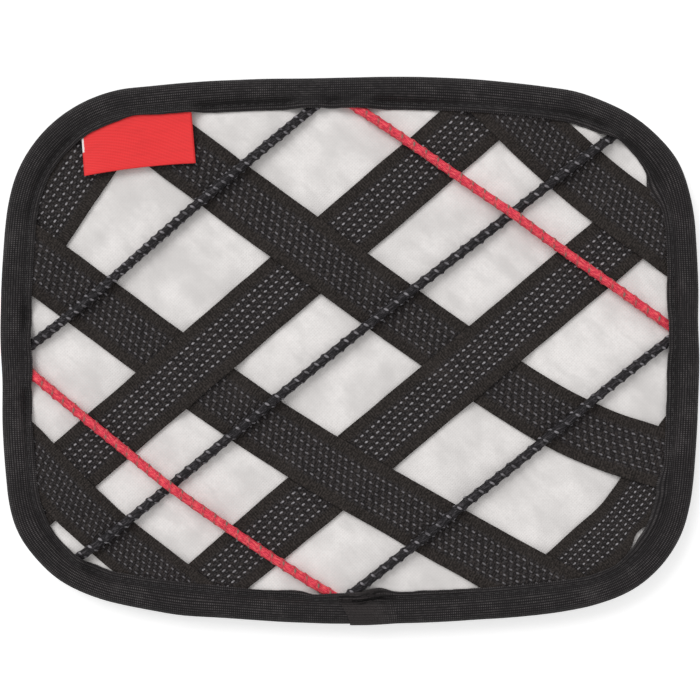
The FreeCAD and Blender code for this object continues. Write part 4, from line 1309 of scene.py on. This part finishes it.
class POUCH_OT_back(bpy.types.Operator):
    """Back panel with its window, the zipper, and the finishes of the solids that no piece replaces"""
    bl_idname = "pouch.back"
    bl_label = "Back and zipper"

    def execute(self, context):
        settings = context.scene.pouch_back
        self.panel(settings)
        self.window_hem(settings)
        for side, name in ((1, "upper"), (-1, "lower")):
            self.tape(settings, side, name)
            self.coil(settings, side, name)
        self.dress(settings)
        return {"FINISHED"}

    def panel(self, settings):
        """Cloth that is low at the rim and lies over the zipper's tapes inside it."""
        rim_z, raised_z = 0.70 * MM, 2.35 * MM

        def height(x, y, distance, inset):
            rise = smooth(10 * MM, 16 * MM, inset)
            flat_zone = smooth(4 * MM, 12 * MM, abs(y - ZIP_Y))
            sag = 0.35 * MM * ripple(x, y, 26 * MM, 6.0) * rise * flat_zone
            return rim_z + (raised_z - rim_z) * rise + min(0.05 * MM, sag)

        bm = pouch_cloth(height)
        self.cut_window(bm)
        bmesh.ops.reverse_faces(bm, faces=bm.faces)
        cloth = plain_weave_finish("back cloth", settings.cloth_colour, 0.9)
        piece = make_piece(bm, "back_panel_cloth", cloth, replaces=["back_panel"])
        thicken(piece, BACK_T)

    def cut_window(self, bm):
        """Opens the slit for the zipper: the cloth inside a long slot with round ends goes."""
        straight = WINDOW_HALF_X - WINDOW_HALF_Y
        sides = [(Vector((0, ZIP_Y + sign * WINDOW_HALF_Y, 0)), Vector((0, sign, 0))) for sign in (1, -1)]
        for end in (1, -1):
            for degrees in range(-72, 73, 18):
                turn = math.radians(degrees)
                outward = Vector((end * math.cos(turn), math.sin(turn), 0))
                sides.append((Vector((end * straight, ZIP_Y, 0)) + outward * WINDOW_HALF_Y, outward))
        for edge, outward in sides:
            near = [face for face in bm.faces if self.near_window(face.calc_center_median(), edge.x)]
            geom = near + list({edge for face in near for edge in face.edges})
            geom += list({vert for face in near for vert in face.verts})
            bmesh.ops.bisect_plane(bm, geom=geom, dist=1e-7, plane_co=edge, plane_no=outward)
        gone = [face for face in bm.faces
                if all((face.calc_center_median() - edge).dot(outward) < 0 for edge, outward in sides)]
        bmesh.ops.delete(bm, geom=gone, context="FACES")

    def near_window(self, spot, end_x):
        """Whether a face is near the long sides, or near the end that is being rounded."""
        if abs(spot.y - ZIP_Y) > WINDOW_HALF_Y + 2 * MM:
            return False
        return end_x == 0 or abs(spot.x - end_x) < 7 * MM

    def window_edge(self, distance):
        """Point on the edge of the window, and its direction away from it, at a distance run round it."""
        straight, turn_length = 2 * (WINDOW_HALF_X - WINDOW_HALF_Y), math.pi * WINDOW_HALF_Y
        half, along = divmod(distance, straight + turn_length)
        turn = -math.pi / 2 + max(0.0, along - straight) / WINDOW_HALF_Y
        outward = Vector((math.cos(turn), math.sin(turn), 0))
        spot = Vector((min(along, straight) - straight / 2, 0, 0)) + outward * WINDOW_HALF_Y
        if half % 2:
            spot, outward = -spot, -outward
        return spot + Vector((0, ZIP_Y, 0)), outward

    def window_hem(self, settings):
        """The cloth folded back round the window, and the stitches that hold it and the tapes."""
        around = 4 * (WINDOW_HALF_X - WINDOW_HALF_Y) + math.tau * WINDOW_HALF_Y
        columns, rows = 300, len(HEM_SECTION)

        def place(column, row):
            spot, outward = self.window_edge(column % columns * around / columns)
            offset, z = HEM_SECTION[row % rows]
            loose = 1 + 0.12 * ripple(spot.x, spot.y, 5 * MM, 2.0)
            return spot + outward * offset * loose * MM + UP * z * MM

        bm = woven_grid(columns, rows, place, lambda column, row: (column * 1.0, row * 0.4))
        bmesh.ops.remove_doubles(bm, verts=bm.verts, dist=0.005 * MM)
        bmesh.ops.recalc_face_normals(bm, faces=bm.faces)
        make_piece(bm, "zipper_window_hem", plain_weave_finish("hem cloth", settings.cloth_colour, 0.9))
        count = round(around / (2.6 * MM))
        edges = [self.window_edge((stitch + 0.5) * around / count) for stitch in range(count)]
        sew("zipper_window_stitches", thread_finish("window thread", settings.thread_colour),
            [(spot + outward * 1.62 * MM + UP * 2.17 * MM, UP.cross(outward)) for spot, outward in edges],
            length=2.0 * MM, radius=0.17 * MM)

    def tape(self, settings, side, name):
        """Woven tape, loose but for the edge where the coil is sewn on."""
        columns, rows = 160, 22

        def place(column, row):
            x, across = (column - columns / 2) * MM, row / rows
            loose = smooth(0.15, 0.5, across)
            sag = 0.07 * MM * ripple(x, across, 9 * MM, 4.0) * loose
            return Vector((x, ZIP_Y + side * (TAPE_EDGE + TAPE_WIDTH * across), CHAIN_Z + sag))

        bm = woven_grid(columns, rows, place, lambda column, row: (column, row * 0.5))
        bmesh.ops.recalc_face_normals(bm, faces=bm.faces)
        finish = tape_finish("zipper tape " + name, settings.tape_colour)
        piece = make_piece(bm, "zipper_tape_" + name + "_woven", finish,
                           replaces=["zipper_tape_" + name])
        thicken(piece, ZIP_TAPE_T, 0)

    def coil(self, settings, side, name):
        """Nylon coil: one loop for each tooth, flattened into a head, and the thread that holds it."""
        first, loops, sides = COIL_START + COIL_PITCH * (1 + side / 4), COIL_LOOPS, 5
        turns = len(COIL_LOOP)

        def place(column, row):
            loop, point = divmod(column, turns)
            x, y, z, half_width, half_height = COIL_LOOP[point]
            _, y_before, z_before, _, _ = COIL_LOOP[point - 1]
            _, y_after, z_after, _, _ = COIL_LOOP[(point + 1) % turns]
            ahead = Vector((0, y_after - y_before, z_after - z_before)).normalized()
            turn = math.tau * row / sides
            middle = Vector((x, y, z)) + ALONG * half_width * math.cos(turn)
            spot = (middle + Vector((0, ahead.z, -ahead.y)) * half_height * math.sin(turn)) * MM
            return Vector((first + COIL_PITCH * loop + spot.x, ZIP_Y + side * spot.y, CHAIN_Z + spot.z))

        bm = woven_grid(loops * turns, sides, place, lambda column, row: (column * 0.4, row * 0.3))
        close_ends(bm, 0.002 * MM)
        bmesh.ops.recalc_face_normals(bm, faces=bm.faces)
        finish = coil_finish("zipper coil " + name, settings.coil_colour)
        make_piece(bm, "zipper_coil_" + name + "_loops", finish,
                   replaces=["zipper_coil_" + name])
        middles = [Vector((first + COIL_PITCH * (loop + 0.5), ZIP_Y + side * 1.12 * MM,
                           CHAIN_Z + face * 0.60 * MM)) for loop in range(loops - 1) for face in (1, -1)]
        sew("zipper_coil_" + name + "_stitches",
            thread_finish("coil thread " + name, settings.thread_colour),
            [(middle, ALONG) for middle in middles], length=1.55 * MM, radius=0.13 * MM)

    def dress(self, settings):
        """Finishes for the solids that no piece replaces, and small bevels on the metal."""
        nodes = frame["nodes"]
        metal_nodes = ("zipper_slider", "zipper_pull", "zipper_top_stops", "zipper_bottom_stop")
        for name in metal_nodes:
            weld = nodes[name].modifiers.new("weld", "WELD")
            weld.merge_threshold = 0.002 * MM
            soften(nodes[name], 0.09 * MM)
        finishes = dict.fromkeys(metal_nodes, lacquer_finish(settings.metal_colour))
        finishes |= {
            "pocket_lining": plain_weave_finish("pocket lining", srgb(58, 56, 60), 0.5, 0.7),
            "stiffener_board": board_finish(srgb(168, 156, 138)),
            "foam_padding": foam_finish(srgb(206, 204, 196)),
            "edge_filler_cord": plain_weave_finish("filler cord", srgb(214, 210, 202), 0.8, 0.9),
        }
        for name, material in finishes.items():
            node = nodes[name]
            node.data.materials.clear()
            node.data.materials.append(material)


class POUCH_PT_pieces(bpy.types.Panel):
    """Buttons that make the pouch's pieces"""
    bl_idname = "POUCH_PT_pieces"
    bl_label = "Cable organizer pouch"
    bl_space_type = "VIEW_3D"
    bl_region_type = "UI"
    bl_category = "Pouch"

    def draw(self, context):
        for operator in OPERATORS:
            self.layout.operator(operator.bl_idname)


SETTINGS = {
    "pouch_stage": POUCH_PG_stage, "pouch_panel": POUCH_PG_panel, "pouch_straps": POUCH_PG_straps,
    "pouch_cords": POUCH_PG_cords, "pouch_label": POUCH_PG_label, "pouch_binding": POUCH_PG_binding,
    "pouch_back": POUCH_PG_back,
}
OPERATORS = [POUCH_OT_stage, POUCH_OT_straps, POUCH_OT_cords, POUCH_OT_front_panel, POUCH_OT_label,
             POUCH_OT_binding, POUCH_OT_back]


def register():
    for name, group in SETTINGS.items():
        bpy.utils.register_class(group)
        setattr(bpy.types.Scene, name, PointerProperty(type=group))
    for part in [*OPERATORS, POUCH_PT_pieces]:
        bpy.utils.register_class(part)


def unregister():
    for part in reversed([*OPERATORS, POUCH_PT_pieces]):
        bpy.utils.unregister_class(part)
    for name, group in SETTINGS.items():
        delattr(bpy.types.Scene, name)
        bpy.utils.unregister_class(group)


def main():
    register()
    bpy.ops.pouch.stage()
    bpy.ops.pouch.straps()
    bpy.ops.pouch.cords()
    bpy.ops.pouch.front_panel()
    bpy.ops.pouch.label()
    bpy.ops.pouch.binding()
    bpy.ops.pouch.back()


if __name__ == "__main__":
    main()
